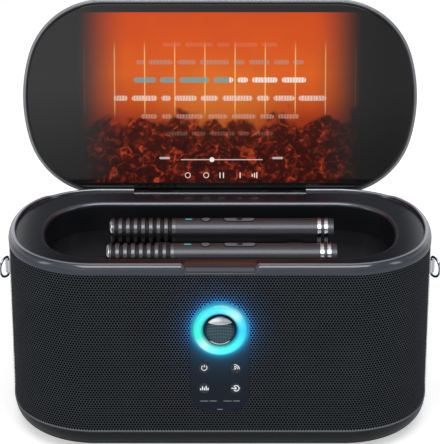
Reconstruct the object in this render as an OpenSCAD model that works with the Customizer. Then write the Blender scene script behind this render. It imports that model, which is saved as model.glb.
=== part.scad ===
/* [Body] */
// Width of the body, left to right
body_w = 350; // [330:1:370]
// Depth of the body, front to back
body_d = 178; // [172:1:186]
// Height from the floor to the top of the rim
body_h = 167; // [160:1:180]
// Radius of the four corners seen from above
corner_r = 71; // [66:1:76]
// Radius of the bowed ends seen from above
end_r = 135; // [125:1:150]

/* [Base] */
// Gap under the base cover that the foot pad fills
foot_gap = 2; // [1.5:0.5:3]
// Height of the top of the base cover
base_top = 21; // [18:0.5:24]
// Thickness of the base floor
floor_t = 3.5; // [3:0.5:5]
// Depth of the recess that holds the foot pad
pad_recess = 1.5; // [1:0.5:2]
// Length of the foot pad
pad_w = 240; // [180:5:260]
// Width of the foot pad
pad_d = 96; // [70:2:100]
// Distance of the four corner screws from the middle, left to right
screw_x = 115; // [105:1:120]
// Distance of the four corner screws from the middle, front to back
screw_y = 60; // [56:1:62]
// Distance of the two end screws from the middle
screw_end_x = 146; // [138:1:148]

/* [Walls] */
// Thickness of the perforated grille
grille_t = 1; // [0.8:0.1:1.5]
// Distance from the outside of the grille to the cabinet wall
wall_in = 3; // [2.5:0.5:4]
// Thickness of the cabinet wall
wall_t = 3; // [2.5:0.5:4]
// Thickness of the flange inside the foot of the cabinet
flange_t = 3; // [2:0.5:4]
// Distance from the outside to the inner edge of that flange
flange_in = 34; // [33:1:38]

/* [Rim] */
// Height of the top rim
rim_h = 8.7; // [8:0.1:10]
// Width of the raised outer lip
lip_w = 6; // [5:0.5:7]
// Bevel on the outside of the lip
lip_bevel = 2.5; // [1:0.25:3]
// Drop from the lip to the ledge
ledge_drop = 3.5; // [3:0.25:4]
// Thickness of the ledge
ledge_t = 4; // [3:0.25:4.5]
// Width of the finger notch at the front
finger_w = 61; // [50:1:80]
// Depth of the finger notch
finger_d = 6.4; // [4:0.1:7]
// Width of the hinge notch at the back
notch_w = 149; // [145:1:160]
// Drop of the lip along the back
back_drop = 1.2; // [0.8:0.1:1.5]
// Length of the dropped stretch at the back
back_w = 300; // [280:5:310]

/* [Microphone tray] */
// Length of the tray opening
tray_w = 289; // [270:1:295]
// Width of the tray opening
tray_d = 121; // [112:1:124]
// Corner radius of the tray opening
tray_corner_r = 46; // [38:1:50]
// Radius of the bowed ends of the tray opening
tray_end_r = 104; // [90:1:115]
// Shift of the tray towards the front
tray_shift = 4; // [2:0.5:5]
// Depth of the tray floor below the rim
tray_depth = 28.5; // [28:0.5:32]
// Thickness of the tray walls
tray_t = 2; // [1.5:0.25:3]
// Width of the flange under the ledge
tray_flange = 6; // [4:0.5:7]
// Height of the soft saddles
saddle_h = 6.5; // [5:0.5:8]
// Width of each saddle
saddle_w = 12; // [8:1:16]
// Place of the saddles along the microphones
saddle_x = [-49, 61];

/* [Control panel] */
// Half the width of the panel
panel_r = 23.9; // [23.5:0.1:25]
// Height of the lower edge of the panel
panel_low = 38.6; // [37:0.2:41]
// Corner radius at the foot of the panel
panel_corner = 16; // [10:0.5:20]
// How far the panel stands out of the grille
panel_proud = 0.6; // [0.4:0.1:1]
// Height of the knob's axis
knob_z = 112.2; // [110:0.2:116]
// Outer radius of the light ring
ring_r = 22.25; // [21.5:0.05:22.5]
// Inner radius of the light ring
ring_hole_r = 14.4; // [14:0.1:15]
// How far the light ring stands out of the panel
ring_proud = 3.5; // [2:0.1:4]
// Radius of the knob
knob_r = 13; // [11:0.1:13.2]
// Height of the knob's dome over the panel
knob_proud = 5; // [4:0.5:8]
// Height of the knob's edge over the panel
knob_edge = 1.6; // [1:0.1:3]
// Radius of the knob's shaft
shaft_r = 3; // [2.5:0.1:3.2]
// Distance between the two button columns
button_pitch = 25.3; // [24:0.1:27]
// Height of the upper button row
button_high_z = 78.3; // [76:0.1:80]
// Height of the lower button row
button_low_z = 60; // [57:0.1:62]
// Radius of the buttons
button_r = 4.6; // [4:0.1:5]
// How far a button can be pressed
button_travel = 0.8; // [0.5:0.1:0.9]

/* [Speakers] */
// Distance of each speaker from the middle
driver_x = 62; // [60:1:62]
// Height of the speaker axes
driver_z = 79; // [76:1:84]
// Outer radius of a speaker flange
driver_r = 38.5; // [38:0.5:39]
// Radius of the holes in the front and back walls
driver_hole_r = 33; // [32.5:0.25:33]
// Depth of a speaker basket
basket_d = 26; // [22:1:30]
// Radius of the magnet
magnet_r = 22; // [18:1:24]
// Thickness of the magnet
magnet_t = 14; // [10:1:18]

/* [Lid] */
// Distance of the lid's edge inside the outline of the body
lid_in = 4.5; // [4:0.25:5]
// Thickness of the lid
lid_t = 12; // [11.5:0.5:16]
// Gap between the closed lid and the lip
lid_gap = 0.4; // [0.3:0.1:0.8]
// How far the open lid leans back
lid_lean = 12; // [5:1:20]
// Wall of the lid's back shell
lid_wall = 2; // [1.5:0.25:2.5]
// Rounding of the lid's outer edge
lid_round = 6; // [4:0.5:7]
// Width of the trim frame round the glass
frame_w = 3.75; // [3:0.25:4]
// Thickness of the trim frame
frame_t = 2; // [2:0.25:3]
// How far the glass stands out of the frame
glass_proud = 2; // [1.5:0.1:2.1]
// Width of the display module
lcd_w = 240; // [220:1:241]
// Distance from the edge of the glass to the display module, above and below
lcd_margin = 5.6; // [5.6:0.1:10]
// Thickness of the display module
lcd_t = 3.5; // [3:0.25:4]

/* [Hinge] */
// Depth of the hinge axis below the rim
hinge_drop = 7.6; // [7.4:0.1:8]
// Radius of the hinge pin
pin_r = 1.5; // [1.2:0.1:1.6]
// Radius of the hinge knuckles
knuckle_r = 3.2; // [3:0.1:3.3]
// Distance of each hinge from the middle
hinge_x = 52; // [48:1:54]
// Width of each lid arm
arm_w = 20; // [16:1:22]
// Width of each bracket ear
ear_w = 4; // [3:0.5:5]

/* [Strap rings] */
// Drop from the rim to the middle of the strap rings
strap_drop = 37.5; // [33:0.5:47]
// Radius of the ring wire
wire_r = 1.1; // [0.9:0.1:1.2]
// Radius of the bow of a ring
bow_r = 8.4; // [7:0.1:9]
// Straight run between the bar and the bow
bow_run = 3; // [2:0.5:4]
// Swing of the rings towards the front in the stored pose
bow_swing = 60; // [0:5:70]

/* [Microphones] */
// Length of a microphone
mic_l = 188; // [180:1:196]
// Radius of a microphone
mic_r = 11; // [10.5:0.1:11.2]
// Depth of the microphone axes below the rim
mic_drop = 16.2; // [16:0.1:17]
// Distance between the two microphone axes
mic_pitch = 55; // [45:1:60]
// Shift of the microphones to the right of the middle
mic_shift = 1.2; // [0:0.1:3]
// Length of the ribbed head with its end cap
head_l = 56; // [50:1:60]
// Number of grooves in the head
head_grooves = 8; // [5:1:8]
// Distance between the grooves
groove_pitch = 6.4; // [5:0.1:6.4]
// Width of a groove
groove_w = 3; // [2:0.1:4]
// Depth of a groove
groove_d = 1.6; // [1:0.1:2]
// Thickness of the end cap
cap_t = 2.5; // [2:0.25:3]
// Wall of the microphone barrel
mic_wall = 1.7; // [1.5:0.1:2]
// Radius of the microphone button
mic_button_r = 4.4; // [4:0.1:4.6]
// Distance from the head to the middle of the lamp
mic_led_in = 10.4; // [8:0.2:12]
// Distance from the head to the middle of the button
mic_button_in = 25; // [22:0.5:28]
// Length of the volume pad
mic_pad_l = 27; // [22:0.5:28]
// Width of the volume pad
mic_pad_w = 8; // [7:0.25:8.5]
// Distance from the head to the middle of the volume pad
mic_pad_in = 53; // [51:0.5:56]
// Distances of the two chrome rings from the tail of the microphone
mic_ring_in = [12, 6.3];
// Width of a chrome ring
mic_ring_w = 2.9; // [2:0.1:3.2]

/* [Back] */
// Height of the middle of the port panel
port_z = 62; // [58:1:66]
// Width of the port panel
port_w = 58; // [50:1:60]
// Height of the port panel
port_h = 24; // [20:1:26]
// Distance of each socket from the middle
socket_x = 12; // [10:0.5:16]
// Radius of the bore of the audio socket
aux_r = 1.8; // [1.75:0.01:1.85]
// Depth of the bore of the audio socket
aux_l = 12; // [10:0.5:12.5]

/* [Hidden] */
$fn = 96;

// Overshoot of a cut past the face it opens
over = 1;
// Gap between a fitted piece and its seat
fit = 0.15;
// Radial clearance of a shaft in its hole
run_fit = 0.05;
// Steps of a rounded edge
round_steps = 6;

half_w = body_w / 2;
half_d = body_d / 2;
wall_top = body_h - rim_h;
wall_inner = wall_in + wall_t;
floor_top = foot_gap + floor_t;
base_low = foot_gap;
base_round = base_top - foot_gap;
bilge_in = base_round * 0.7;
bilge_z = base_top - base_round / 2;
rail_in = wall_inner - 1;
lap = 0.25;
ledge_z = body_h - ledge_drop;
ledge_under = ledge_z - ledge_t;
finger_slant = 3.6;
finger_past = 2;
finger_tilt = atan2(finger_d - ledge_drop, lip_w + finger_past);

tray_half_w = tray_w / 2;
tray_half_d = tray_d / 2;
tray_z = body_h - tray_depth;
mic_z = body_h - mic_drop;
mic_y = [mic_pitch / 2 - tray_shift, -mic_pitch / 2 - tray_shift];

front_y = -half_d - panel_proud;
panel_t = panel_proud + wall_in;
panel_back_y = front_y + panel_t;
board_y = panel_back_y + 6;
board_t = 1.6;
ring_slot = panel_t - 1;
button_flange_r = button_r + 0.9;
button_flange_t = 0.8;
button_proud = 0.3;
switch_t = 1.2;
stem_end_y = board_y - switch_t - button_travel - 0.1;

driver_y = half_d - wall_inner;
driver_screw_r = (driver_r + driver_hole_r) / 2;
driver_head_r = 2.6;
driver_flange_t = 2.5;

hinge_y = half_d - lid_in;
hinge_z = body_h - hinge_drop;
lid_z = body_h + lid_gap;
glass_in = lid_in + frame_w + fit;
glass_t = glass_proud + frame_t / 4;
glass_z = lid_z - glass_proud;
lcd_z = glass_z + glass_t;
lcd_d = 2 * (half_d - glass_in - lcd_margin);
display_board_w = lcd_w / 2;
display_board_d = lcd_d * 0.4;
frame_step = 2;
lid_step = 3;
leaf_t = 2;
leaf_l = 22;
arm_in = 0.4;
arm_t = glass_in - lid_in - arm_in - fit;
ear_gap = 0.3;
notch_y = half_d - lid_in - 6.7;
bracket_z = hinge_z - 24;
bracket_t = 3;
bracket_y = driver_y - bracket_t;
cover_strip = bracket_y - notch_y - 2 * fit;
cover_rise = 0.4;

strap_x = half_w + 2;
strap_z = body_h - strap_drop;
lug_h = 11;
lug_w = 8;
lug_r = 2.3;
lug_step = 0.5;
bend_r = 1.6;

screw_r = 1.5;
bush_r = 4.4;
encoder_w = 12;
switch_w = 4;
pin_contact_r = 0.9;
radiator_step = 3;
bracket_w = arm_w + 2 * ear_w + 2 * ear_gap + 4;
board_back_y = half_d - wall_inner - 9;
board_w = 80;
board_low = port_z - 30;
board_high = port_z + 36;
post_r = 3;
post_x = 16;
port_corner = 6;
collar_r = 3.4;
shell_c_w = 8.94;
shell_c_h = 3.26;
shell_c_t = 0.35;

mic_bore_r = mic_r - mic_wall;
mic_ring_out = 0.25;
mic_ring_deep = 0.6;
mic_top_r = mic_r + 0.25;
mic_board_z = 4.6;
mic_board_t = 1.2;
mic_led_l = 6;
head_start = -mic_l / 2 + cap_t;
head_end = -mic_l / 2 + head_l;
mic_led_x = head_end + mic_led_in;
mic_button_x = head_end + mic_button_in;
mic_pad_x = head_end + mic_pad_in;
mic_ring_x = [mic_l / 2 - mic_ring_in[0], mic_l / 2 - mic_ring_in[1]];
mic_pivot_r = 0.5;
mic_pivot_z = mic_bore_r - 0.55;
mic_pivot_l = mic_pad_w / 2 + 1.2;

battery_l = 66;
battery_w = 38;
battery_r = 9;
bracket_floor_t = 1.5;

// Centre of the end arc of an outline, measured from the middle
function arc_x(w, er) = w - er;
// Centre of the corner arcs of an outline, where its straight run ends
function run_x(w, d, cr, er) = arc_x(w, er) + sqrt(pow(er - cr, 2) - pow(d - cr, 2));
// Angle at which the corner arc meets the end arc
function meet_a(w, d, cr, er) = atan2(d - cr, run_x(w, d, cr, er) - arc_x(w, er));
// Points of a quarter round of radius r that ends at x = 0 and y = z
function round_low(r, z) = [for (k = [0:round_steps])
    [-r + r * cos(90 * k / round_steps), z - r * sin(90 * k / round_steps)]];
function round_high(r, z) = [for (k = [0:round_steps])
    [-r + r * cos(90 * k / round_steps), z + r * sin(90 * k / round_steps)]];

body_run = run_x(half_w, half_d, corner_r, end_r);
body_arc = arc_x(half_w, end_r);
body_meet = meet_a(half_w, half_d, corner_r, end_r);
base_screw_places = concat(
    [for (sx = [-1, 1], sy = [-1, 1]) [sx * screw_x, sy * screw_y]],
    [for (sx = [-1, 1]) [sx * screw_end_x, 0]]);
button_places = [for (z = [button_high_z, button_low_z], sx = [-1, 1]) [sx * button_pitch / 2, z]];

// Rounded outline of half size w by d with corner arcs cr and end arcs er, drawn in by i
module outline(w, d, cr, er, i) {
    rx = run_x(w, d, cr, er);
    ax = arc_x(w, er);
    a = meet_a(w, d, cr, er);
    for (sx = [0, 1])
        mirror([sx, 0]) {
            translate([0, i - d])
                square([rx, 2 * (d - i)]);
            intersection() {
                for (sy = [-1, 1])
                    translate([rx, sy * (d - cr)])
                        circle(r = cr - i);
                translate([rx, -2 * d])
                    square([2 * cr, 4 * d]);
            }
            intersection() {
                translate([ax, 0])
                    circle(r = er - i);
                polygon([[ax, 0], [ax + 2 * er, 2 * er * tan(a)], [ax + 2 * er, -2 * er * tan(a)]]);
            }
        }
}

// Outline of the body, drawn in by i
module plan(i = 0) {
    outline(half_w, half_d, corner_r, end_r, i);
}

// Outline of the tray, drawn in by i
module tray_plan(i = 0) {
    translate([0, -tray_shift])
        outline(tray_half_w, tray_half_d, tray_corner_r, tray_end_r, i);
}

// Sweeps a profile round the body: x = 0 is the outline, negative x is inside, y is the height
module band() {
    for (sx = [0, 1])
        mirror([sx, 0, 0]) {
            for (sy = [0, 1])
                mirror([0, sy, 0]) {
                    translate([0, half_d, 0])
                        rotate([90, 0, 90])
                            linear_extrude(body_run)
                                children();
                    translate([body_run, half_d - corner_r, 0])
                        rotate([0, 0, body_meet])
                            rotate_extrude(angle = 90 - body_meet)
                                translate([corner_r, 0])
                                    children();
                }
            translate([body_arc, 0, 0])
                rotate([0, 0, -body_meet])
                    rotate_extrude(angle = 2 * body_meet)
                        translate([end_r, 0])
                            children();
        }
}

// Ring of the body's outline between two depths and two heights
module hoop(outer, inner, low, high) {
    translate([0, 0, low])
        linear_extrude(high - low)
            difference() {
                plan(outer);
                plan(inner);
            }
}

// Plate that stands across the body, with its back face at y and thickness t towards the front
module upright(y, t) {
    translate([0, y, 0])
        rotate([90, 0, 0])
            linear_extrude(t)
                children();
}

// Straight-sided slot of length w and width h
module slot(w, h) {
    square([w - h, h], center = true);
    for (s = [-1, 1])
        translate([s * (w - h) / 2, 0])
            circle(d = h);
}

module rounded(w, h, r) {
    square([w - 2 * r, h], center = true);
    square([w, h - 2 * r], center = true);
    for (sx = [-1, 1], sy = [-1, 1])
        translate([sx * (w / 2 - r), sy * (h / 2 - r)])
            circle(r = r);
}

// Outline of the control panel, grown by g
module panel_plan(g = 0) {
    low = panel_low - g;
    r = panel_corner + g;
    w = panel_r + g;
    translate([0, knob_z])
        circle(r = w);
    translate([-w, low + r])
        square([2 * w, knob_z - low - r]);
    translate([-(w - r), low])
        square([2 * (w - r), r + over]);
    for (s = [-1, 1])
        translate([s * (w - r), low + r])
            circle(r = r);
}

// Turns a piece of the closed lid back to the open pose
module opened() {
    translate([0, hinge_y, hinge_z])
        rotate([-(90 + lid_lean), 0, 0])
            translate([0, -hinge_y, -hinge_z])
                children();
}

// Puts a piece with its axis along +z on the inside of the front wall, and a twin beside it
module front_pair() {
    for (s = [-1, 1])
        translate([s * driver_x, -driver_y, driver_z])
            rotate([90, 0, 0])
                children();
}

module back_pair() {
    for (s = [-1, 1])
        translate([s * driver_x, driver_y, driver_z])
            rotate([-90, 0, 0])
                children();
}

module cabinet() {
    color("#141517")
    difference() {
        union() {
            hoop(wall_in, wall_inner, base_top, wall_top);
            hoop(wall_in, flange_in, base_top, base_top + flange_t);
            for (sx = [-1, 1], z = [board_low + post_r, board_high - post_r])
                translate([sx * post_x, board_back_y, z])
                    rotate([-90, 0, 0])
                        cylinder(r = post_r, h = half_d - wall_inner + over - board_back_y);
        }
        front_pair() {
            cylinder(r = driver_hole_r, h = 4 * wall_t, center = true);
            driver_screw_holes();
        }
        back_pair() {
            cylinder(r = driver_hole_r - radiator_step, h = 4 * wall_t, center = true);
            driver_screw_holes();
        }
        upright(-driver_y + over, wall_t + 2 * over)
            panel_plan(-3);
        upright(half_d - wall_in + over, wall_t + 2 * over)
            translate([0, port_z])
                rounded(port_w - 8, port_h - 8, port_corner - 3);
        for (p = base_screw_places)
            translate([p[0], p[1], base_top - over])
                cylinder(r = screw_r + 0.02, h = flange_t + 2 * over);
        for (s = [-1, 1])
            translate([s * hinge_x - bracket_w / 2 - fit, driver_y - over, hinge_z - knuckle_r - 1])
                cube([bracket_w + 2 * fit, wall_t + 2 * over, 40]);
    }
}

module driver_screw_holes() {
    for (a = [45:90:359])
        rotate([0, 0, a])
            translate([driver_screw_r, 0, -over])
                cylinder(r = screw_r + 0.02, h = wall_t + 2 * over);
}

module grille() {
    color("#2b2d31")
    difference() {
        hoop(0, grille_t, base_top, wall_top);
        upright(-half_d + wall_in, 2 * wall_in)
            panel_plan(fit);
        upright(half_d + wall_in, 2 * wall_in)
            translate([0, port_z])
                rounded(port_w + 2 * fit, port_h + 2 * fit, port_corner + fit);
        for (s = [-1, 1])
            translate([s * half_w, 0, strap_z])
                cube([4 * wall_in, lug_w + 2 * fit, lug_h + 2 * fit], center = true);
    }
}

module top_rim() {
    color("#1b1c20")
    difference() {
        union() {
            band()
                polygon([[-lip_w + over, wall_top], [0, wall_top], [0, body_h - lip_bevel],
                    [-lip_bevel, body_h], [-lip_w + over, body_h]]);
            translate([0, 0, wall_top])
                linear_extrude(rim_h)
                    plan((lip_bevel + lip_w - over) / 2);
        }
        translate([0, 0, ledge_z])
            linear_extrude(rim_h)
                plan(lip_w);
        translate([0, 0, ledge_under - rim_h])
            linear_extrude(rim_h)
                plan(lip_w);
        translate([0, 0, ledge_under - over])
            linear_extrude(ledge_t + 2 * over)
                tray_plan();
        finger_notch();
        translate([-notch_w / 2, notch_y, wall_top - over])
            cube([notch_w, body_d, rim_h + 2 * over]);
        translate([-back_w / 2, half_d / 2, body_h - back_drop])
            cube([back_w, body_d, back_drop + over]);
    }
}

// Scoop through the lip at the front: it slopes down to the outside and has slanted ends
module finger_notch() {
    half = finger_w / 2;
    run = 2 * lip_w;
    translate([0, -half_d, body_h - finger_d])
        rotate([finger_tilt, 0, 0])
            translate([0, run, 0])
                rotate([90, 0, 0])
                    linear_extrude(run + 2 * over)
                        polygon([[-half + finger_slant, 0], [half - finger_slant, 0], [half, finger_slant],
                            [half, finger_d + over], [-half, finger_d + over], [-half, finger_slant]]);
}

module mic_tray() {
    color("#15161a")
    difference() {
        union() {
            translate([0, 0, tray_z - tray_t])
                linear_extrude(ledge_under - tray_z + tray_t)
                    tray_plan(-tray_t);
            translate([0, 0, ledge_under - tray_t])
                linear_extrude(tray_t)
                    tray_plan(-tray_t - tray_flange);
        }
        translate([0, 0, tray_z])
            linear_extrude(tray_depth)
                tray_plan();
        pin_places()
            translate([0, 0, -2 * tray_t])
                cylinder(r = pin_contact_r + 0.1, h = 4 * tray_t);
    }
}

// Puts a piece on the tray floor under each chrome ring
module pin_places() {
    for (y = mic_y, x = mic_ring_x)
        translate([mic_shift + x, y, tray_z])
            children();
}

module charging_pins() {
    color("#c9a24a")
    pin_places()
        translate([0, 0, -tray_t - 1])
            cylinder(r = pin_contact_r, h = tray_t + 1 + mic_z - mic_r - mic_ring_out - tray_z - 0.25);
}

module mic_saddles() {
    color("#1d1e21")
    for (x = saddle_x)
        translate([mic_shift + x, -tray_shift, tray_z])
            difference() {
                translate([-saddle_w / 2, -mic_pitch / 2 - mic_r, 0])
                    cube([saddle_w, mic_pitch + 2 * mic_r, saddle_h]);
                for (y = mic_y)
                    translate([0, y + tray_shift, mic_z - tray_z])
                        rotate([0, 90, 0])
                            cylinder(r = mic_r + 0.3, h = 2 * saddle_w, center = true);
            }
}

module base_cover() {
    color("#1d2022")
    difference() {
        union() {
            difference() {
                union() {
                    band()
                        polygon(concat([[-base_round - 2 * over, base_low],
                            [-base_round - 2 * over, floor_top - lap], [-bilge_in + over, floor_top - lap],
                            [-bilge_in + over, bilge_z - lap],
                            [-rail_in + over, bilge_z - lap], [-rail_in + over, base_top]],
                            round_low(base_round, base_top)));
                    translate([0, 0, base_low])
                        linear_extrude(base_round)
                            plan(base_round + over);
                    translate([0, 0, floor_top - 2 * lap])
                        linear_extrude(base_top - floor_top + 2 * lap)
                            plan(bilge_in - 2 * over);
                    translate([0, 0, bilge_z - 2 * lap])
                        linear_extrude(base_top - bilge_z + 2 * lap)
                            plan(rail_in - 2 * over);
                }
                translate([0, 0, floor_top])
                    linear_extrude(base_top)
                        plan(bilge_in);
                translate([0, 0, bilge_z])
                    linear_extrude(base_top)
                        plan(rail_in);
            }
            for (p = base_screw_places)
                translate([p[0], p[1], foot_gap + 1])
                    cylinder(r = 5, h = base_top - foot_gap - 1);
        }
        translate([0, 0, foot_gap - over])
            linear_extrude(pad_recess + over)
                slot(pad_w + 2 * fit, pad_d + 2 * fit);
        for (p = base_screw_places)
            translate([p[0], p[1], foot_gap - over]) {
                cylinder(r = 3.5, h = over + 4);
                cylinder(r = screw_r + 0.1, h = base_top + over);
            }
    }
}

module foot_pad() {
    color("#101012")
    linear_extrude(foot_gap + pad_recess)
        slot(pad_w, pad_d);
}

module base_screws() {
    color("#8b8d90")
    for (p = base_screw_places)
        translate([p[0], p[1], foot_gap + 1.6]) {
            cylinder(r = 2.8, h = 2.4);
            cylinder(r = screw_r, h = base_top + flange_t - foot_gap - 1.6);
        }
}

module control_panel() {
    color("#20242b")
    difference() {
        union() {
            upright(panel_back_y, panel_t)
                panel_plan();
            for (sx = [-1, 1], z = [panel_low + 14, knob_z - 22])
                translate([sx * (panel_r - 5.5), board_y, z])
                    rotate([90, 0, 0])
                        cylinder(r = 2, h = board_y - panel_back_y + over);
        }
        upright(front_y + ring_slot, ring_slot + over)
            translate([0, knob_z])
                difference() {
                    circle(r = ring_r + fit);
                    circle(r = ring_hole_r - fit);
                }
        upright(panel_back_y + over, panel_t + 2 * over)
            translate([0, knob_z])
                circle(r = bush_r + fit);
        for (p = button_places)
            upright(panel_back_y + over, panel_t + 2 * over)
                translate(p)
                    circle(r = button_r + fit);
        for (a = [0:30:359])
            translate([0, panel_back_y, knob_z])
                rotate([90, a, 0])
                    translate([(ring_r + ring_hole_r) / 2, 0, 0])
                        cylinder(r = 1.2, h = 4, center = true);
    }
}

module light_ring() {
    mid = (ring_r + ring_hole_r) / 2;
    half = (ring_r - ring_hole_r) / 2;
    color("#35e6f5")
    translate([0, front_y + ring_slot - 0.1, knob_z])
        rotate([90, 0, 0])
            rotate_extrude()
                polygon(concat([[ring_hole_r, 0], [ring_r, 0]],
                    [for (k = [0:12])
                        [mid + half * cos(15 * k), ring_slot - 0.1 + ring_proud * sin(15 * k)]]));
}

module button_board() {
    color("#1c5a35")
    union() {
        upright(board_y + board_t, board_t)
            panel_plan(-wall_in - 1.2);
        for (p = button_places)
            upright(board_y, switch_t)
                translate(p)
                    square([switch_w, switch_w], center = true);
    }
}

module encoder() {
    color("#3a3c40")
    difference() {
        union() {
            upright(board_y, board_y - panel_back_y - 0.2)
                translate([0, knob_z])
                    square([encoder_w, encoder_w], center = true);
            upright(panel_back_y + over, panel_t + over - 0.2)
                translate([0, knob_z])
                    circle(r = bush_r);
        }
        upright(board_y - 1, panel_t + 20)
            translate([0, knob_z])
                circle(r = shaft_r + run_fit);
    }
}

module knob() {
    back_y = front_y - 0.5;
    color("#4d565c")
    difference() {
        translate([0, back_y, knob_z])
            rotate([90, 0, 0])
                rotate_extrude()
                    polygon(concat([[0, 0], [knob_r - 0.6, 0], [knob_r, 0.6]],
                        [for (k = [0:round_steps]) [knob_r * cos(90 * k / round_steps),
                            knob_edge + (knob_proud - knob_edge) * sin(90 * k / round_steps)]]));
        translate([0, back_y + over, knob_z])
            rotate([90, 0, 0])
                cylinder(r = shaft_r + 0.02, h = knob_proud - 2 + over);
    }
}

module knob_shaft() {
    color("#9a9da0")
    upright(board_y - 1.2, board_y - 1.2 - front_y + knob_proud - 2)
        translate([0, knob_z])
            circle(r = shaft_r);
}

module panel_button(i) {
    p = button_places[i];
    color("#2a2f38") {
        upright(panel_back_y + 0.1, panel_t + button_proud + 0.1)
            translate(p)
                circle(r = button_r);
        upright(panel_back_y + 0.1 + button_flange_t, button_flange_t)
            translate(p)
                circle(r = button_flange_r);
        upright(stem_end_y, stem_end_y - panel_back_y)
            translate(p)
                circle(r = 1.5);
    }
}

module power_button() {
    panel_button(0);
}

module wireless_button() {
    panel_button(1);
}

module bass_button() {
    panel_button(2);
}

module mode_button() {
    panel_button(3);
}

module woofer_baskets() {
    inner_r = driver_hole_r - 1;
    color("#26282b")
    front_pair()
        difference() {
            rotate_extrude()
                polygon([[inner_r, 0], [driver_r, 0], [driver_r, -driver_flange_t],
                    [driver_screw_r - driver_head_r - fit, -driver_flange_t], [magnet_r, -basket_d],
                    [9, -basket_d], [9, -basket_d + 2], [magnet_r - 1.5, -basket_d + 2],
                    [inner_r, -driver_flange_t + 1]]);
            for (a = [0:60:359])
                rotate([0, 0, a])
                    translate([magnet_r + 6, 0, -basket_d / 2])
                        cube([30, 14, basket_d - 12], center = true);
            driver_screw_holes_in_flange();
        }
}

module driver_screw_holes_in_flange() {
    for (a = [45:90:359])
        rotate([0, 0, a])
            translate([driver_screw_r, 0, -driver_flange_t - over])
                cylinder(r = screw_r + 0.1, h = driver_flange_t + 2 * over);
}

module woofer_magnets() {
    color("#4a4c50")
    front_pair()
        translate([0, 0, -basket_d - magnet_t]) {
            cylinder(r = magnet_r - 1, h = magnet_t);
            translate([0, 0, 2])
                cylinder(r = magnet_r, h = magnet_t - 4);
        }
}

module woofer_cones() {
    rim_r = driver_hole_r - 5;
    color("#17181a")
    front_pair()
        rotate_extrude()
            polygon([[rim_r, -1.2], [10, -15], [6, -12.5], [0, -11.5], [0, -12.5], [6, -13.5],
                [8, -14.8], [8, -basket_d + 2.3], [9.2, -basket_d + 2.3], [9.2, -16.6], [rim_r, -2.4]]);
}

module woofer_surrounds() {
    rim_r = driver_hole_r - 5;
    color("#0f0f10")
    front_pair()
        rotate_extrude()
            polygon([[rim_r, -2.4], [rim_r, -1.2], [rim_r + 1, 0.4], [rim_r + 3, 0.4],
                [driver_hole_r - 1.05, -0.2], [driver_hole_r - 1.05, -1.4]]);
}

module passive_radiators() {
    hole = driver_hole_r - radiator_step;
    color("#1a1b1d")
    back_pair()
        difference() {
            rotate_extrude()
                polygon([[0, -3], [hole - 8, -3], [hole - 7, -1.6], [hole - 4, 0.8], [hole - 1.5, -0.6],
                    [hole - 1, 0], [driver_r, 0], [driver_r, -driver_flange_t],
                    [hole - 1.5, -driver_flange_t], [hole - 4, -1], [hole - 6.5, -3.4], [hole - 7, -5], [0, -5]]);
            driver_screw_holes_in_flange();
        }
}

module driver_screws() {
    color("#8b8d90") {
        front_pair()
            flange_screws();
        back_pair()
            flange_screws();
    }
}

module flange_screws() {
    for (a = [45:90:359])
        rotate([0, 0, a])
            translate([driver_screw_r, 0, -driver_flange_t]) {
                translate([0, 0, -1.8])
                    cylinder(r = driver_head_r, h = 1.8);
                translate([0, 0, -over])
                    cylinder(r = screw_r, h = driver_flange_t + wall_t - 0.4 + over);
            }
}

module main_board() {
    color("#1c5a35")
    upright(board_back_y, board_t)
        translate([-board_w / 2, board_low])
            square([board_w, board_high - board_low]);
}

module heat_sink() {
    base_t = 3;
    fin_l = 9;
    color("#8f9296")
    translate([-24, board_back_y - board_t - base_t, board_high - 44])
        union() {
            cube([48, base_t, 36]);
            for (k = [0:7])
                translate([k * 6.5, -fin_l, 0])
                    cube([2.5, fin_l + over, 36]);
        }
}

module battery_pack() {
    color("#2c4f8f")
    translate([-battery_l / 2, 0, floor_top + bracket_floor_t + battery_w / 2 + 0.1])
        rotate([90, 0, 90])
            linear_extrude(battery_l)
                rounded(battery_w, battery_w, battery_r);
}

module battery_bracket() {
    side = battery_w / 2 + 0.25;
    color("#202226")
    translate([0, 0, floor_top])
        union() {
            translate([-battery_l / 2 - 4, -side - 9, 0])
                cube([battery_l + 8, 2 * side + 18, bracket_floor_t]);
            for (s = [-1, 1])
                translate([-battery_l / 2 + 4, s * (side + 0.9) - 0.9, 0])
                    cube([battery_l - 8, 1.8, battery_w * 0.6]);
        }
}

module port_panel() {
    color("#1a1c20")
    difference() {
        upright(half_d, wall_in)
            translate([0, port_z])
                rounded(port_w, port_h, port_corner);
        upright(half_d + over, wall_in + 2 * over)
            translate([-socket_x, port_z])
                slot(shell_c_w + 2 * fit, shell_c_h + 2 * fit);
        upright(half_d + over, wall_in + 2 * over)
            translate([socket_x, port_z])
                circle(r = collar_r + fit);
    }
}

module usb_c_socket() {
    color("#b9bcc0")
    translate([-socket_x, 0, port_z]) {
        difference() {
            upright(half_d - 0.3, half_d - 0.3 - board_back_y)
                slot(shell_c_w, shell_c_h);
            upright(half_d + over, 8)
                slot(shell_c_w - 2 * shell_c_t, shell_c_h - 2 * shell_c_t);
        }
        upright(half_d - 1, 7)
            square([6.7, 0.7], center = true);
    }
}

module aux_socket() {
    color("#303236")
    difference() {
        union() {
            upright(half_d - wall_in - 0.2, half_d - wall_in - 0.2 - board_back_y)
                translate([socket_x, port_z])
                    square([11, 9], center = true);
            upright(half_d - 0.2, wall_in + over)
                translate([socket_x, port_z])
                    circle(r = collar_r);
        }
        upright(half_d + over, aux_l + over + 0.2)
            translate([socket_x, port_z])
                circle(r = aux_r);
    }
}

// Puts a piece at each of the two hinges
module hinge_pair() {
    for (s = [-1, 1])
        translate([s * hinge_x, 0, 0])
            children();
}

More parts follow.
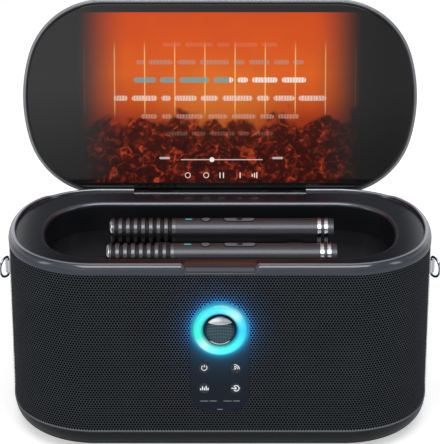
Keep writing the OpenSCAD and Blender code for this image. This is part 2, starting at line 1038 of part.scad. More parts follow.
module hinge_brackets() {
    ear_x = arm_w / 2 + ear_gap;
    color("#6b6e72")
    hinge_pair()
        difference() {
            union() {
                translate([-bracket_w / 2, bracket_y, bracket_z])
                    cube([bracket_w, bracket_t, hinge_z - knuckle_r - 2 - bracket_z]);
                for (s = [-1, 1])
                    translate([s * (ear_x + ear_w / 2), 0, 0]) {
                        translate([-ear_w / 2, bracket_y, bracket_z])
                            cube([ear_w, bracket_t, hinge_z - bracket_z]);
                        translate([-ear_w / 2, bracket_y, hinge_z - knuckle_r])
                            cube([ear_w, hinge_y - bracket_y, knuckle_r]);
                        translate([-ear_w / 2, hinge_y, hinge_z])
                            rotate([0, 90, 0])
                                cylinder(r = knuckle_r, h = ear_w);
                    }
            }
            translate([-bracket_w, hinge_y, hinge_z])
                rotate([0, 90, 0])
                    cylinder(r = pin_r + 0.02, h = 2 * bracket_w);
        }
}

module hinge_pins() {
    pin_l = arm_w + 2 * ear_gap + 2 * ear_w;
    color("#c5c8cb")
    hinge_pair()
        translate([-pin_l / 2, hinge_y, hinge_z])
            rotate([0, 90, 0])
                cylinder(r = pin_r, h = pin_l);
}

module hinge_cover() {
    mid_w = 2 * hinge_x - bracket_w - 2 * fit;
    side_w = notch_w / 2 - hinge_x - bracket_w / 2 - 2 * fit;
    color("#1b1c20")
    translate([0, 0, wall_top]) {
        translate([-notch_w / 2 + fit, notch_y + fit, 0])
            cube([notch_w - 2 * fit, cover_strip, ledge_z + cover_rise - wall_top]);
        translate([-mid_w / 2, notch_y + fit, 0])
            cube([mid_w, half_d - notch_y - 1.5, ledge_z - wall_top]);
        for (s = [-1, 1])
            translate([s * (notch_w / 2 - fit - side_w / 2) - side_w / 2, notch_y + fit, 0])
                cube([side_w, half_d - notch_y - 1.5, ledge_z - wall_top]);
    }
}

module strap_lugs() {
    color("#a5a8ab")
    for (s = [0, 1])
        mirror([s, 0, 0])
            difference() {
                translate([0, 0, strap_z - lug_h / 2])
                    union() {
                        translate([half_w - wall_in, -lug_w / 2, 0])
                            cube([wall_in + lug_step, lug_w, lug_h]);
                        translate([half_w, -lug_r, 0])
                            cube([strap_x - half_w, 2 * lug_r, lug_h]);
                        translate([strap_x, 0, 0])
                            cylinder(r = lug_r, h = lug_h);
                    }
                translate([strap_x, 0, strap_z - lug_h])
                    cylinder(r = wire_r + run_fit, h = 2 * lug_h);
            }
}

// Quarter turn of ring wire with bend radius b
module wire_bend(b) {
    rotate_extrude(angle = 90)
        translate([b, 0])
            circle(r = wire_r);
}

// Wire ring in the XZ plane with its straight bar on the Z axis
module strap_ring() {
    translate([0, 0, -bow_r + bend_r])
        cylinder(r = wire_r, h = 2 * (bow_r - bend_r));
    for (s = [0, 1])
        mirror([0, 0, s]) {
            translate([bend_r, 0, bow_r - bend_r])
                rotate([90, 0, 0])
                    rotate([0, 0, 90])
                        wire_bend(bend_r);
            translate([bend_r, 0, bow_r])
                rotate([0, 90, 0])
                    cylinder(r = wire_r, h = bow_run - bend_r);
        }
    translate([bow_run, 0, 0])
        rotate([90, 0, 0])
            rotate([0, 0, -90])
                rotate_extrude(angle = 180)
                    translate([bow_r, 0])
                        circle(r = wire_r);
}

module strap_ring_right() {
    color("#c9ccd0")
    translate([strap_x, 0, strap_z])
        rotate([0, 0, -bow_swing])
            strap_ring();
}

module strap_ring_left() {
    color("#c9ccd0")
    mirror([1, 0, 0])
        translate([strap_x, 0, strap_z])
            rotate([0, 0, -bow_swing])
                strap_ring();
}

module lid_back() {
    top = lid_z + lid_t;
    low = lid_z + frame_t;
    color("#202125")
    opened()
        difference() {
            union() {
                band()
                    translate([-lid_in, 0])
                        polygon(concat([[-lid_round - 2 * over, low], [0, low]],
                            round_high(lid_round, top - lid_round), [[-lid_round - 2 * over, top]]));
                translate([0, 0, low])
                    linear_extrude(lid_t - frame_t)
                        plan(lid_in + lid_round + over);
            }
            translate([0, 0, low - over])
                linear_extrude(lid_t - frame_t - lid_wall - lid_step + over)
                    plan(lid_in + lid_wall);
            translate([0, 0, low - over])
                linear_extrude(lid_t - frame_t - lid_wall + over)
                    plan(lid_in + lid_round);
            hinge_pair()
                translate([-arm_w / 2 - fit, hinge_y - lid_round - 1, low - over])
                    cube([arm_w + 2 * fit, 20, lid_t - frame_t - lid_wall + over]);
        }
}

module lid_frame() {
    inner = lid_in + frame_w;
    color("#8d9094")
    opened()
        difference() {
            union() {
                hoop(lid_in, inner, lid_z, lid_z + frame_t);
                hoop(lid_in + 1, inner + frame_step, lcd_z, lid_z + frame_t);
            }
            hinge_pair()
                translate([-arm_w / 2 - fit, hinge_y - arm_t - arm_in - fit, lid_z - over])
                    cube([arm_w + 2 * fit, 20, frame_t + 2 * over]);
        }
}

module screen_glass() {
    color("#111216")
    opened()
        translate([0, 0, glass_z])
            linear_extrude(glass_t)
                plan(glass_in);
}

module lcd_panel() {
    color("#c8501e")
    opened()
        translate([-lcd_w / 2, -lcd_d / 2, lcd_z])
            cube([lcd_w, lcd_d, lcd_t]);
}

module display_board() {
    color("#1c5a35")
    opened()
        translate([-display_board_w / 2, -display_board_d / 2, lcd_z + lcd_t])
            cube([display_board_w, display_board_d, board_t]);
}

module hinge_arms() {
    top = lid_z + lid_t - lid_wall;
    color("#6b6e72")
    opened()
        hinge_pair()
            difference() {
                union() {
                    translate([-arm_w / 2, hinge_y, hinge_z])
                        rotate([0, 90, 0])
                            cylinder(r = knuckle_r, h = arm_w);
                    translate([-arm_w / 2, hinge_y - arm_t - arm_in, hinge_z])
                        cube([arm_w, arm_t, top - hinge_z]);
                    translate([-arm_w / 2, hinge_y - leaf_l, top - leaf_t])
                        cube([arm_w, leaf_l - 1, leaf_t]);
                }
                translate([-arm_w, hinge_y, hinge_z])
                    rotate([0, 90, 0])
                        cylinder(r = pin_r + run_fit, h = 2 * arm_w);
            }
}

// Puts a microphone piece, drawn along x with its buttons up, in its place in the tray
module mic_at(i) {
    translate([mic_shift, mic_y[i], mic_z])
        children();
}

// Cylinder along x from a to b
module rod(r, a, b) {
    translate([a, 0, 0])
        rotate([0, 90, 0])
            cylinder(r = r, h = b - a);
}

module mic_barrel(i) {
    color("#3b3d42")
    mic_at(i)
        difference() {
            rod(mic_r, head_end, mic_l / 2);
            rod(mic_bore_r, head_end - over, mic_l / 2 - 3);
            for (x = mic_ring_x)
                difference() {
                    rod(mic_r + over, x - mic_ring_w / 2 - 0.05, x + mic_ring_w / 2 + 0.05);
                    rod(mic_r - mic_ring_deep, x - mic_ring_w, x + mic_ring_w);
                }
            translate([mic_button_x, 0, mic_bore_r / 2])
                cylinder(r = mic_button_r + fit, h = mic_r);
            translate([mic_pad_x, 0, mic_bore_r / 2])
                linear_extrude(mic_r)
                    slot(mic_pad_l + 4 * fit, mic_pad_w + 4 * fit);
            translate([mic_pad_x, 0, mic_pivot_z])
                pad_pivot(mic_pivot_r + run_fit, mic_pivot_l + fit);
            translate([mic_led_x, 0, mic_bore_r / 2])
                linear_extrude(mic_r)
                    slot(mic_led_l + 2 * fit, 2 + 2 * fit);
        }
}

module mic_head(i) {
    color("#2c2e32")
    mic_at(i)
        difference() {
            rod(mic_r, head_start, head_end);
            rod(mic_bore_r - groove_d + 0.8, head_start - over, head_end + over);
            for (k = [0:head_grooves - 1])
                difference() {
                    translate([head_start + 2 + k * groove_pitch, 0, 0])
                        rod(mic_r + over, 0, groove_w);
                    rod(mic_r - groove_d, head_start, head_end);
                }
        }
}

module mic_cap(i) {
    color("#b5b8bb")
    mic_at(i)
        translate([-mic_l / 2, 0, 0])
            rotate([0, 90, 0])
                rotate_extrude()
                    polygon([[0, 0], [mic_r - 2, 0], [mic_r - 0.8, 0.8], [mic_r - 0.4, cap_t], [0, cap_t]]);
}

module mic_rings(i) {
    color("#d5d8db")
    mic_at(i)
        for (x = mic_ring_x)
            difference() {
                rod(mic_r + mic_ring_out, x - mic_ring_w / 2, x + mic_ring_w / 2);
                rod(mic_r - mic_ring_deep + 0.05, x - mic_ring_w, x + mic_ring_w);
            }
}

module mic_led(i) {
    color("#2fd6d0")
    mic_at(i)
        translate([mic_led_x, 0, 0])
            intersection() {
                translate([0, 0, mic_bore_r - 1])
                    linear_extrude(mic_r)
                        slot(mic_led_l, 2);
                rod(mic_r, -mic_led_l, mic_led_l);
            }
}

module mic_core(i) {
    board_half = 7;
    cell_r = 5.2;
    color("#7d8085")
    mic_at(i) {
        translate([head_end + 3, -board_half, mic_board_z])
            cube([mic_l / 2 - 6 - head_end, 2 * board_half, mic_board_t]);
        translate([0, 0, mic_board_z - cell_r - 0.2])
            rod(cell_r, head_end + 14, head_end + 64);
        rod(mic_bore_r - groove_d + 0.6, head_start + 4, head_start + 14);
    }
}

module mic_button(i) {
    color("#2a2c30")
    mic_at(i)
        translate([mic_button_x, 0, 0]) {
            intersection() {
                translate([0, 0, mic_bore_r - 2.2])
                    cylinder(r = mic_button_r, h = mic_r);
                rod(mic_top_r, -mic_r, mic_r);
            }
            translate([0, 0, mic_bore_r - 2.8])
                cylinder(r = mic_button_r + 0.7, h = 0.8);
        }
}

// Pin across the volume pad that it rocks on
module pad_pivot(r, l) {
    rotate([90, 0, 0])
        cylinder(r = r, h = 2 * l, center = true);
}

module mic_pad(i) {
    color("#2a2c30")
    mic_at(i)
        translate([mic_pad_x, 0, 0]) {
            intersection() {
                translate([0, 0, mic_bore_r - 1.3])
                    linear_extrude(mic_r)
                        slot(mic_pad_l, mic_pad_w);
                rod(mic_top_r, -mic_pad_l, mic_pad_l);
            }
            translate([0, 0, mic_pivot_z])
                pad_pivot(mic_pivot_r, mic_pivot_l);
        }
}

cabinet();
grille();
top_rim();
mic_tray();
mic_saddles();
charging_pins();
base_cover();
foot_pad();
base_screws();
control_panel();
light_ring();
button_board();
encoder();
woofer_baskets();
woofer_magnets();
woofer_cones();
woofer_surrounds();
passive_radiators();
driver_screws();
main_board();
heat_sink();
battery_pack();
battery_bracket();
port_panel();
usb_c_socket();
aux_socket();
hinge_brackets();
hinge_pins();
hinge_cover();
strap_lugs();
lid_back();
lid_frame();
screen_glass();
lcd_panel();
display_board();
hinge_arms();
knob();
knob_shaft();
power_button();
wireless_button();
bass_button();
mode_button();
strap_ring_left();
strap_ring_right();
mic_barrel(0);  // mic_rear_barrel
mic_head(0);  // mic_rear_head
mic_cap(0);  // mic_rear_cap
mic_rings(0);  // mic_rear_rings
mic_led(0);  // mic_rear_led
mic_core(0);  // mic_rear_core
mic_button(0);  // mic_rear_button
mic_pad(0);  // mic_rear_pad
mic_barrel(1);  // mic_front_barrel
mic_head(1);  // mic_front_head
mic_cap(1);  // mic_front_cap
mic_rings(1);  // mic_front_rings
mic_led(1);  // mic_front_led
mic_core(1);  // mic_front_core
mic_button(1);  // mic_front_button
mic_pad(1);  // mic_front_pad
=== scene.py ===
import math

import bmesh
import bpy
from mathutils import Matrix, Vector


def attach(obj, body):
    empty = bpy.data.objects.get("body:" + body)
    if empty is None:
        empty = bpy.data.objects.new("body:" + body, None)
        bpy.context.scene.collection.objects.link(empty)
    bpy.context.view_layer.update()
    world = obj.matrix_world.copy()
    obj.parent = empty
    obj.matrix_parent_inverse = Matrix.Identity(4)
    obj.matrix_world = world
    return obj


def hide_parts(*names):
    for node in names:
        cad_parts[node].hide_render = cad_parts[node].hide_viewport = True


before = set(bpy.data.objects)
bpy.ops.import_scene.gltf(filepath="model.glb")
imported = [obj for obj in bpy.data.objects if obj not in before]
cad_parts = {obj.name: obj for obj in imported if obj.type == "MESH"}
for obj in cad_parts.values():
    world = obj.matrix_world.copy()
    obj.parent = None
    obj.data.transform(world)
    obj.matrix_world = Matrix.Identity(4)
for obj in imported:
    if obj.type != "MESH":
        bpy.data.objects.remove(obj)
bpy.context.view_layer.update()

scene = bpy.context.scene
scene.view_settings.view_transform = "Standard"

# -------------------- foot pad
# A moulded rubber pad in the recess of the base. It is matt, with a fine pebbled skin that takes
# dust at its edges. The CAD solid has the right shape and keeps it.


def linear(code, alpha=1.0):
    """An sRGB hex colour as linear RGBA."""
    parts = [int(code[i:i + 2], 16) / 255 for i in (1, 3, 5)]
    return [p / 12.92 if p <= 0.04045 else ((p + 0.055) / 1.055) ** 2.4 for p in parts] + [alpha]


class Value:
    """A number in a node tree, so that sums on it read as sums."""

    def __init__(self, tree, socket):
        self.tree, self.socket = tree, socket

    def sum(self, operation, *others):
        made = put(self.tree, "ShaderNodeMath", dict(enumerate((self, *others))), operation=operation)
        return Value(self.tree, made.outputs[0])

    def mapped(self, low, high, to_low=0.0, to_high=1.0, kind="LINEAR"):
        """The value taken from one range to another and held at its ends."""
        made = put(self.tree, "ShaderNodeMapRange", {
            "Value": self, "From Min": low, "From Max": high, "To Min": to_low, "To Max": to_high},
            interpolation_type=kind)
        return Value(self.tree, made.outputs[0])

    def root(self):
        return self.sum("SQRT")

    def max(self, other):
        return self.sum("MAXIMUM", other)

    def __add__(self, other):
        return self.sum("ADD", other)

    def __sub__(self, other):
        return self.sum("SUBTRACT", other)

    def __mul__(self, other):
        return self.sum("MULTIPLY", other)

    def __truediv__(self, other):
        return self.sum("DIVIDE", other)

    def __gt__(self, other):
        return self.sum("GREATER_THAN", other)

    def __lt__(self, other):
        return self.sum("LESS_THAN", other)

    def __abs__(self):
        return self.sum("ABSOLUTE")


def wire(tree, node, sockets):
    """Links a socket or a Value to an input of a node, or sets anything else on it directly."""
    for key, value in sockets.items():
        value = value.socket if isinstance(value, Value) else value
        if isinstance(value, bpy.types.NodeSocket):
            tree.links.new(value, node.inputs[key])
        else:
            node.inputs[key].default_value = value


def put(tree, kind, sockets=None, **settings):
    """Adds a node to a tree, with its settings and with values or links on its sockets."""
    made = tree.nodes.new(kind)
    for key, value in settings.items():
        setattr(made, key, value)
    wire(tree, made, sockets or {})
    return made


def blend(tree, factor, low, high):
    """Mixes two colours, each a hex value or a socket."""
    low, high = (linear(tone) if isinstance(tone, str) else tone for tone in (low, high))
    return put(tree, "ShaderNodeMix", {0: factor, 6: low, 7: high}, data_type="RGBA").outputs[2]


def finish_for(name, low, high, patch_mm, rough, rough_spread=0.06, grain_mm=0.0, depth_mm=0.0,
               metallic=0.0, **direct):
    """A surface whose colour drifts between two hex values over patches, with its own grain. Returns
    the material, its tree, its shader and the socket that holds the colour."""
    made = bpy.data.materials.new(name)
    made.use_nodes = True
    tree = made.node_tree
    shader = tree.nodes["Principled BSDF"]
    place = put(tree, "ShaderNodeTexCoord").outputs["Object"]
    patch = put(tree, "ShaderNodeTexNoise", {"Vector": place, "Scale": 1000 / patch_mm, "Detail": 4.0})
    patch = Value(tree, patch.outputs["Fac"])
    colour = blend(tree, patch, low, high)
    wire(tree, shader, {"Base Color": colour, "Metallic": metallic,
                        "Roughness": patch.mapped(0.0, 1.0, rough - rough_spread, rough + rough_spread)})
    if grain_mm:
        grain = put(tree, "ShaderNodeTexNoise", {"Vector": place, "Scale": 1000 / grain_mm, "Detail": 3.0})
        bump = put(tree, "ShaderNodeBump", {"Height": grain.outputs["Fac"], "Distance": depth_mm / 1000,
                                            "Strength": 1.0})
        tree.links.new(bump.outputs["Normal"], shader.inputs["Normal"])
    wire(tree, shader, {key.replace("_", " "): value for key, value in direct.items()})
    return made, tree, shader, colour


def dress(material, *names):
    """Gives CAD nodes a material in place of their plain one."""
    for name in names:
        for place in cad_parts[name].material_slots:
            place.material = material


# Moulded rubber: matt black, pebbled at 1.2 mm so that it shows.
rubber = finish_for("moulded_rubber", "#101011", "#19191a", 14, 0.82, 0.05, 1.2, 0.06)[0]
dress(rubber, "foot_pad")

# -------------------- base cover
# The lower cover of moulded ABS, rounded under all the way round, with six screw wells in its flat
# underside. Its upper edge stands against the grille with a thin bevel, painted paler as a highlight.

BODY = (175.0, 89.0, 71.0, 135.0)      # half width, half depth, corner radius, end radius, in mm
base_low, base_top, base_round = 2.0, 21.0, 19.0
screw_wells = [(115, 60), (-115, 60), (115, -60), (-115, -60), (146, 0), (-146, 0)]
well_r, well_top = 3.0, 6.2


def outline(size, shift=0.0, front=(), back=(), corner_steps=26, end_steps=12):
    """Stations (x, y, out x, out y) round a bowed outline, from the middle of the front. front and back
    are the places along the straight runs, as shares of the run."""
    half_w, half_d, corner, end = size
    arc = half_w - end
    run = arc + math.sqrt((end - corner) ** 2 - (half_d - corner) ** 2)
    meet = math.atan2(half_d - corner, run - arc)
    even = [k / 14 for k in range(14)]

    def bow(cx, cy, r, start, stop, steps, last=0):
        turns = [start + (stop - start) * k / steps for k in range(steps + last)]
        return [(cx + r * math.cos(a), cy + r * math.sin(a), math.cos(a), math.sin(a)) for a in turns]

    right = [(f * run, -half_d, 0.0, -1.0) for f in front or even]
    right += bow(run, corner - half_d, corner, -math.pi / 2, -meet, corner_steps)
    right += bow(arc, 0.0, end, -meet, meet, end_steps)
    right += bow(run, half_d - corner, corner, meet, math.pi / 2, corner_steps, 1)
    right += [(f * run, half_d, 0.0, 1.0) for f in reversed(back or even)]
    left = [(-x, y, -u, v) for x, y, u, v in reversed(right[1:-1])]
    return [(x, y + shift, u, v) for x, y, u, v in right + left]


def object_of(name, verts, faces):
    """A mesh object made from millimetre points."""
    mesh = bpy.data.meshes.new(name)
    mesh.from_pydata([(x / 1000, y / 1000, z / 1000) for x, y, z in verts], [], faces)
    made = bpy.data.objects.new(name, mesh)
    scene.collection.objects.link(made)
    return made


def piece(name, verts, faces, material, body, slot=None, stands_for=(), angle=38, bands=None):
    """A finished piece made from millimetre points. bands names a second material, the columns of the
    skin that it covers and the number of columns."""
    made = object_of(name, verts, faces)
    made.data.materials.append(material)
    if bands:
        second, covered, columns = bands
        made.data.materials.append(second)
        which = [int(k % columns in covered) for k in range(len(faces))]
        made.data.polygons.foreach_set("material_index", which)
    return settle(made, body, slot, stands_for, angle)


def settle(made, body, slot=None, stands_for=(), angle=38, keep=False):
    """Merges, turns outwards and shades a mesh smooth up to an angle, and puts it on its body. keep leaves
    out the merging and turning."""
    mesh = made.data
    if not keep:
        work = bmesh.new()
        work.from_mesh(mesh)
        bmesh.ops.remove_doubles(work, verts=work.verts, dist=2e-6)
        bmesh.ops.recalc_face_normals(work, faces=work.faces)
        work.to_mesh(mesh)
        work.free()
    mesh.polygons.foreach_set("use_smooth", [True] * len(mesh.polygons))
    mesh.set_sharp_from_angle(angle=math.radians(angle))
    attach(made, body)
    if stands_for:
        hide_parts(*stands_for)
    return made


def skin(rings, loop=False, caps=True):
    """Vertices and faces over rings of points. loop joins the last ring to the first, and caps close the
    ends of the rings when they are open sections that run round an outline."""
    size = len(rings[0])
    verts = [p for ring in rings for p in ring]
    count = len(rings)
    faces = []
    for r in range(count if loop else count - 1):
        a, b = r * size, (r + 1) % count * size
        for k in range(size - 1):
            faces.append((a + k, a + k + 1, b + k + 1, b + k))
    if caps:
        faces.append([r * size for r in range(count)])
        faces.append([r * size + size - 1 for r in reversed(range(count))])
    return verts, faces


def at(station, inset, z):
    """The point that lies inset from the outline at a station, at a height."""
    x, y, u, v = station
    return (x - u * inset, y - v * inset, z)


def axes_of(tree, source="Object"):
    """The X, Y and Z of a vector socket, or of a kind of texture coordinate."""
    if isinstance(source, str):
        source = put(tree, "ShaderNodeTexCoord").outputs[source]
    return [Value(tree, part) for part in put(tree, "ShaderNodeSeparateXYZ", {0: source}).outputs]


# Moulded ABS, spark-eroded mould: satin near-black with a 0.6 mm grain. The upper edge has a painted
# highlight.
base_abs, tree, shader, colour = finish_for("moulded_abs_satin", "#141618", "#1b1d20", 40, 0.33, 0.05,
                                            0.6, 0.012, Specular_IOR_Level=0.25)
# Painted highlight: the bevel at the top edge is painted a paler grey.
chamfer_highlight = axes_of(tree)[2].mapped((base_top - 0.95) / 1000, (base_top - 0.85) / 1000)
wire(tree, shader, {"Base Color": blend(tree, chamfer_highlight, colour, "#75797f")})
section = [(base_round, base_low)]
for k in range(1, 19):
    a = math.pi / 2 * k / 18
    section.append((base_round - base_round * math.sin(a), base_top - base_round * math.cos(a)))
section = section[:-1] + [(0.0, base_top - 0.9), (0.12, base_top - 0.4), (0.5, base_top), (3.0, base_top),
                          (3.0, base_top - 2)]
stations = outline(BODY)
verts, faces = skin([[at(s, i, z) for i, z in section] for s in stations], loop=True, caps=False)
faces.append([r * len(section) + len(section) - 1 for r in range(len(stations))])
base = bmesh.new()
points = [base.verts.new((x / 1000, y / 1000, z / 1000)) for x, y, z in verts]
for face in faces:
    base.faces.new([points[k] for k in face])
rim_edges = [e for e in base.edges if e.is_boundary]
for sx, sy in screw_wells:
    round_well = [(sx + well_r * math.cos(math.tau * k / 24), sy + well_r * math.sin(math.tau * k / 24))
                  for k in range(24)]
    low, top = ([base.verts.new((x / 1000, y / 1000, z / 1000)) for x, y in round_well]
                for z in (base_low, well_top))
    for k in range(24):
        base.faces.new((low[k], low[k - 1], top[k - 1], top[k]))
        rim_edges.append(base.edges.get((low[k], low[k - 1])))
    base.faces.new(top)
bmesh.ops.triangle_fill(base, edges=rim_edges, use_beauty=True)
mesh = bpy.data.meshes.new("base_cover_shell")
base.to_mesh(mesh)
base.free()
base_cover = bpy.data.objects.new("base_cover_shell", mesh)
scene.collection.objects.link(base_cover)
mesh.materials.append(base_abs)
settle(base_cover, "console", "base_abs", ("base_cover",), 40)

# -------------------- base screws
# Six pan-head screws with a cross recess, zinc plated, at the bottom of their wells. One head is
# made, and Geometry Nodes set it on the six places.


def new_tree(name, **kinds):
    """A geometry tree with a geometry output and named inputs, listed by kind. Returns the tree, its
    inputs and its output node."""
    tree = bpy.data.node_groups.new(name, "GeometryNodeTree")
    tree.interface.new_socket("Geometry", in_out="INPUT", socket_type="NodeSocketGeometry")
    for kind, labels in kinds.items():
        for label in labels:
            tree.interface.new_socket(label, in_out="INPUT", socket_type="NodeSocket" + kind)
    tree.interface.new_socket("Geometry", in_out="OUTPUT", socket_type="NodeSocketGeometry")
    given = put(tree, "NodeGroupInput").outputs
    return tree, {socket.name: Value(tree, socket) for socket in given}, put(tree, "NodeGroupOutput")


def grown(name, tree, values, points=()):
    """Runs a geometry tree on a holder with the given points. Returns the result as a mesh object."""
    holder = object_of(name + "_holder", points, [])
    nodes = holder.modifiers.new("nodes", "NODES")
    nodes.node_group = tree
    for item in tree.interface.items_tree:
        if item.in_out == "INPUT" and item.name in values:
            nodes[item.identifier] = values[item.name]
    result = bpy.data.meshes.new_from_object(holder.evaluated_get(bpy.context.evaluated_depsgraph_get()))
    holder.modifiers.remove(nodes)
    bpy.data.objects.remove(holder)
    made = bpy.data.objects.new(name, result)
    scene.collection.objects.link(made)
    return made


set_on, given, out = new_tree("set_on_points", Object=["Part"], Material=["Finish"])
part = put(set_on, "GeometryNodeObjectInfo", {"Object": given["Part"]}).outputs["Geometry"]
spots = put(set_on, "GeometryNodeMeshToPoints", {"Mesh": given["Geometry"]}).outputs["Points"]
set_parts = put(set_on, "GeometryNodeInstanceOnPoints", {"Points": spots, "Instance": part}).outputs[0]
real = put(set_on, "GeometryNodeRealizeInstances", {"Geometry": set_parts}).outputs[0]
coated = put(set_on, "GeometryNodeSetMaterial", {"Geometry": real, "Material": given["Finish"]})
wire(set_on, out, {"Geometry": coated.outputs[0]})

# Zinc-plated steel: bright, with a fine turned grain.
screw_zinc = finish_for("zinc_plated_steel", "#8f9296", "#a9acb0", 2.5, 0.32, 0.08, metallic=1.0)[0]


def turned(profile, steps, lay=lambda c, s, along: (c, s, along)):
    """Vertices and faces of a turned shape from (radius, along) pairs. lay makes a point of the two parts
    of the radius and the place along the axis, which is Z unless it says otherwise."""
    turns = [math.tau * k / steps for k in range(steps)]
    rings = [[lay(r * math.cos(a), r * math.sin(a), along) for r, along in profile] for a in turns]
    return skin(rings, loop=True, caps=False)


head_low = 3.6
head_profile = [(0, 2.4), (1.45, 2.4), (2.55, 1.9), (2.8, 1.2), (2.8, 0.7), (2.3, 0.15), (1.5, 0)]
verts, faces = turned(head_profile, 24)
cross = [(0.35, 1.3), (0.35, 0.35), (1.3, 0.35), (1.3, -0.35), (0.35, -0.35), (0.35, -1.3),
         (-0.35, -1.3), (-0.35, -0.35), (-1.3, -0.35), (-1.3, 0.35), (-0.35, 0.35), (-0.35, 1.3)]
first = len(verts)
verts += [(x, y, 0) for x, y in cross] + [(x * 0.8, y * 0.8, 1.1) for x, y in cross]
faces += [(first + k, first + (k + 1) % 12, first + 12 + (k + 1) % 12, first + 12 + k) for k in range(12)]
faces.append([first + 12 + k for k in range(12)])
screw_head = object_of("screw_head", verts, faces)
work = bmesh.new()
work.from_mesh(screw_head.data)
bmesh.ops.remove_doubles(work, verts=work.verts, dist=2e-6)
bmesh.ops.triangle_fill(work, edges=[e for e in work.edges if e.is_boundary], use_beauty=True)
bmesh.ops.recalc_face_normals(work, faces=work.faces)
work.to_mesh(screw_head.data)
work.free()
base_screws = grown("base_screw_heads", set_on, {"Part": screw_head, "Finish": screw_zinc},
                    [(x, y, head_low) for x, y in screw_wells])
bpy.data.objects.remove(screw_head)
settle(base_screws, "console", "screw_steel", ("base_screws",), 30)

# -------------------- cabinet and what it holds
# The inner cabinet of black ABS, glued and screwed, seen only as darkness behind the grille, with the
# speakers, boards and battery that it carries.

cabinet_abs = finish_for("moulded_abs_black", "#08090a", "#0d0e10", 60, 0.6, Specular_IOR_Level=0.2)[0]
cone_paper = finish_for("pressed_paper", "#101113", "#18191b", 3, 0.85, 0.05, 0.8, 0.05)[0]
basket_steel = finish_for("painted_steel", "#1b1c1f", "#26282b", 10, 0.45, metallic=0.4)[0]
ferrite = finish_for("ferrite", "#2a2b2d", "#37383a", 4, 0.55)[0]
fibreglass = finish_for("fibreglass_board", "#123f26", "#1a5231", 6, 0.4)[0]
finned = finish_for("anodised_aluminium", "#8d9094", "#a2a5a9", 8, 0.35, metallic=1.0)[0]
sleeve = finish_for("shrink_sleeve", "#1f3f7a", "#27508f", 12, 0.35)[0]
tinned = finish_for("tinned_steel", "#9a9da1", "#b2b5b9", 3, 0.3, metallic=1.0)[0]
dress(cabinet_abs, "cabinet")
dress(cone_paper, "woofer_cones")
dress(rubber, "woofer_surrounds", "passive_radiators")
dress(basket_steel, "woofer_baskets")
dress(ferrite, "woofer_magnets")
dress(fibreglass, "main_board", "button_board", "display_board")
dress(finned, "heat_sink")
dress(sleeve, "battery_pack")
dress(tinned, "battery_bracket", "encoder", "driver_screws", "hinge_pins", "knob_shaft")

# -------------------- grille
# Steel sheet 1 mm thick, punched all round with staggered round holes at 2.4 mm, powder coated black
# and lined with black cloth. Geometry Nodes repeat one punched cell on a grid, cut the grid away
# behind the panels and lay it along the outline of the body.

pitch, row, hole_r, sheet_low, sheet_top = 2.38, 2.05, 1.05, 21.0, 158.3
hidden = 0.0013      # how far behind a panel, in m, the middle of a cell lies when it is left out
even = [k / 60 for k in range(60)]
round_body = outline(BODY, front=even, back=even, corner_steps=60, end_steps=40)
path_data = bpy.data.curves.new("body_outline", "CURVE")
path_data.dimensions = "3D"
spline = path_data.splines.new("POLY")
spline.points.add(len(round_body) - 1)
for spot, s in zip(spline.points, round_body):
    spot.co = (s[0] / 1000, s[1] / 1000, 0, 1)
spline.use_cyclic_u = True
path = bpy.data.objects.new("body_outline", path_data)
scene.collection.objects.link(path)
length = sum(math.dist(a[:2], b[:2]) for a, b in zip(round_body, round_body[1:] + round_body[:1]))
columns = round(length / pitch)
pitch = length / columns
# One cell is a hexagon with a hole of twelve sides.
corner_arm = row / 1.5
hexagon = [(0, 1), (1, 0.5), (1, -0.5), (0, -1), (-1, -0.5), (-1, 0.5)]
cell = [(pitch / 2 * x, corner_arm * y, 0) for x, y in hexagon]
turns = [math.tau * (k - 0.5) / 12 for k in range(12)]
cell += [(hole_r * math.sin(a), hole_r * math.cos(a), 0) for a in turns]
cell_faces = []
for k in range(6):
    cell_faces += [(k, 6 + 2 * k, 7 + 2 * k), (k, 7 + 2 * k, 6 + (2 * k + 2) % 12, (k + 1) % 6)]
punched = object_of("punched_cell", cell, cell_faces)


def vector_sum(tree, operation, a, b=(0, 0, 0)):
    """The result of one sum on vectors."""
    made = put(tree, "ShaderNodeVectorMath", {0: a, 1: b}, operation=operation)
    return Value(tree, made.outputs["Value"]) if operation in ("LENGTH", "DISTANCE") else made.outputs[0]


bend, G, out = new_tree(
    "punched_sheet", Object=["Cell", "Path"], Int=["Columns", "Rows"], Material=["Finish"],
    Float=["Pitch", "Row height", "Lowest", "Middle of sheet", "Path length", "Panel half width", "Panel low",
           "Panel high", "Low corner", "High corner"])
# x and y are read anew at each step: on the grid, on the staggered rows and on the punched cells.
x, y, z = axes_of(bend, put(bend, "GeometryNodeInputPosition").outputs[0])
grid_high = (G["Rows"] - 1.0) * G["Row height"]
grid = put(bend, "GeometryNodeMeshGrid", {
    "Vertices X": G["Columns"], "Vertices Y": G["Rows"], "Size X": (G["Columns"] - 1.0) * G["Pitch"],
    "Size Y": grid_high}).outputs["Mesh"]
rise = grid_high * 0.5 + y
odd = (rise / G["Row height"]).sum("ROUND").sum("MODULO", 2.0)
staggered = put(bend, "ShaderNodeCombineXYZ", {"X": odd * G["Pitch"] * 0.5 + x, "Y": rise + G["Lowest"]})
laid = put(bend, "GeometryNodeSetPosition", {"Geometry": grid, "Position": staggered.outputs[0]})
corner = (y > G["Panel high"] - G["High corner"]) * (G["High corner"] - G["Low corner"]) + G["Low corner"]
off_x = (abs(x) - (G["Panel half width"] - corner)).max(0.0)
off_y = (y - (G["Panel high"] - corner)).max(G["Panel low"] + corner - y).max(0.0)
behind_panel = (off_x * off_x + off_y * off_y).root() < corner - hidden
kept = put(bend, "GeometryNodeDeleteGeometry", {"Geometry": laid.outputs[0], "Selection": behind_panel})
cells = put(bend, "GeometryNodeInstanceOnPoints", {
    "Points": kept.outputs[0],
    "Instance": put(bend, "GeometryNodeObjectInfo", {"Object": G["Cell"]}).outputs["Geometry"]})
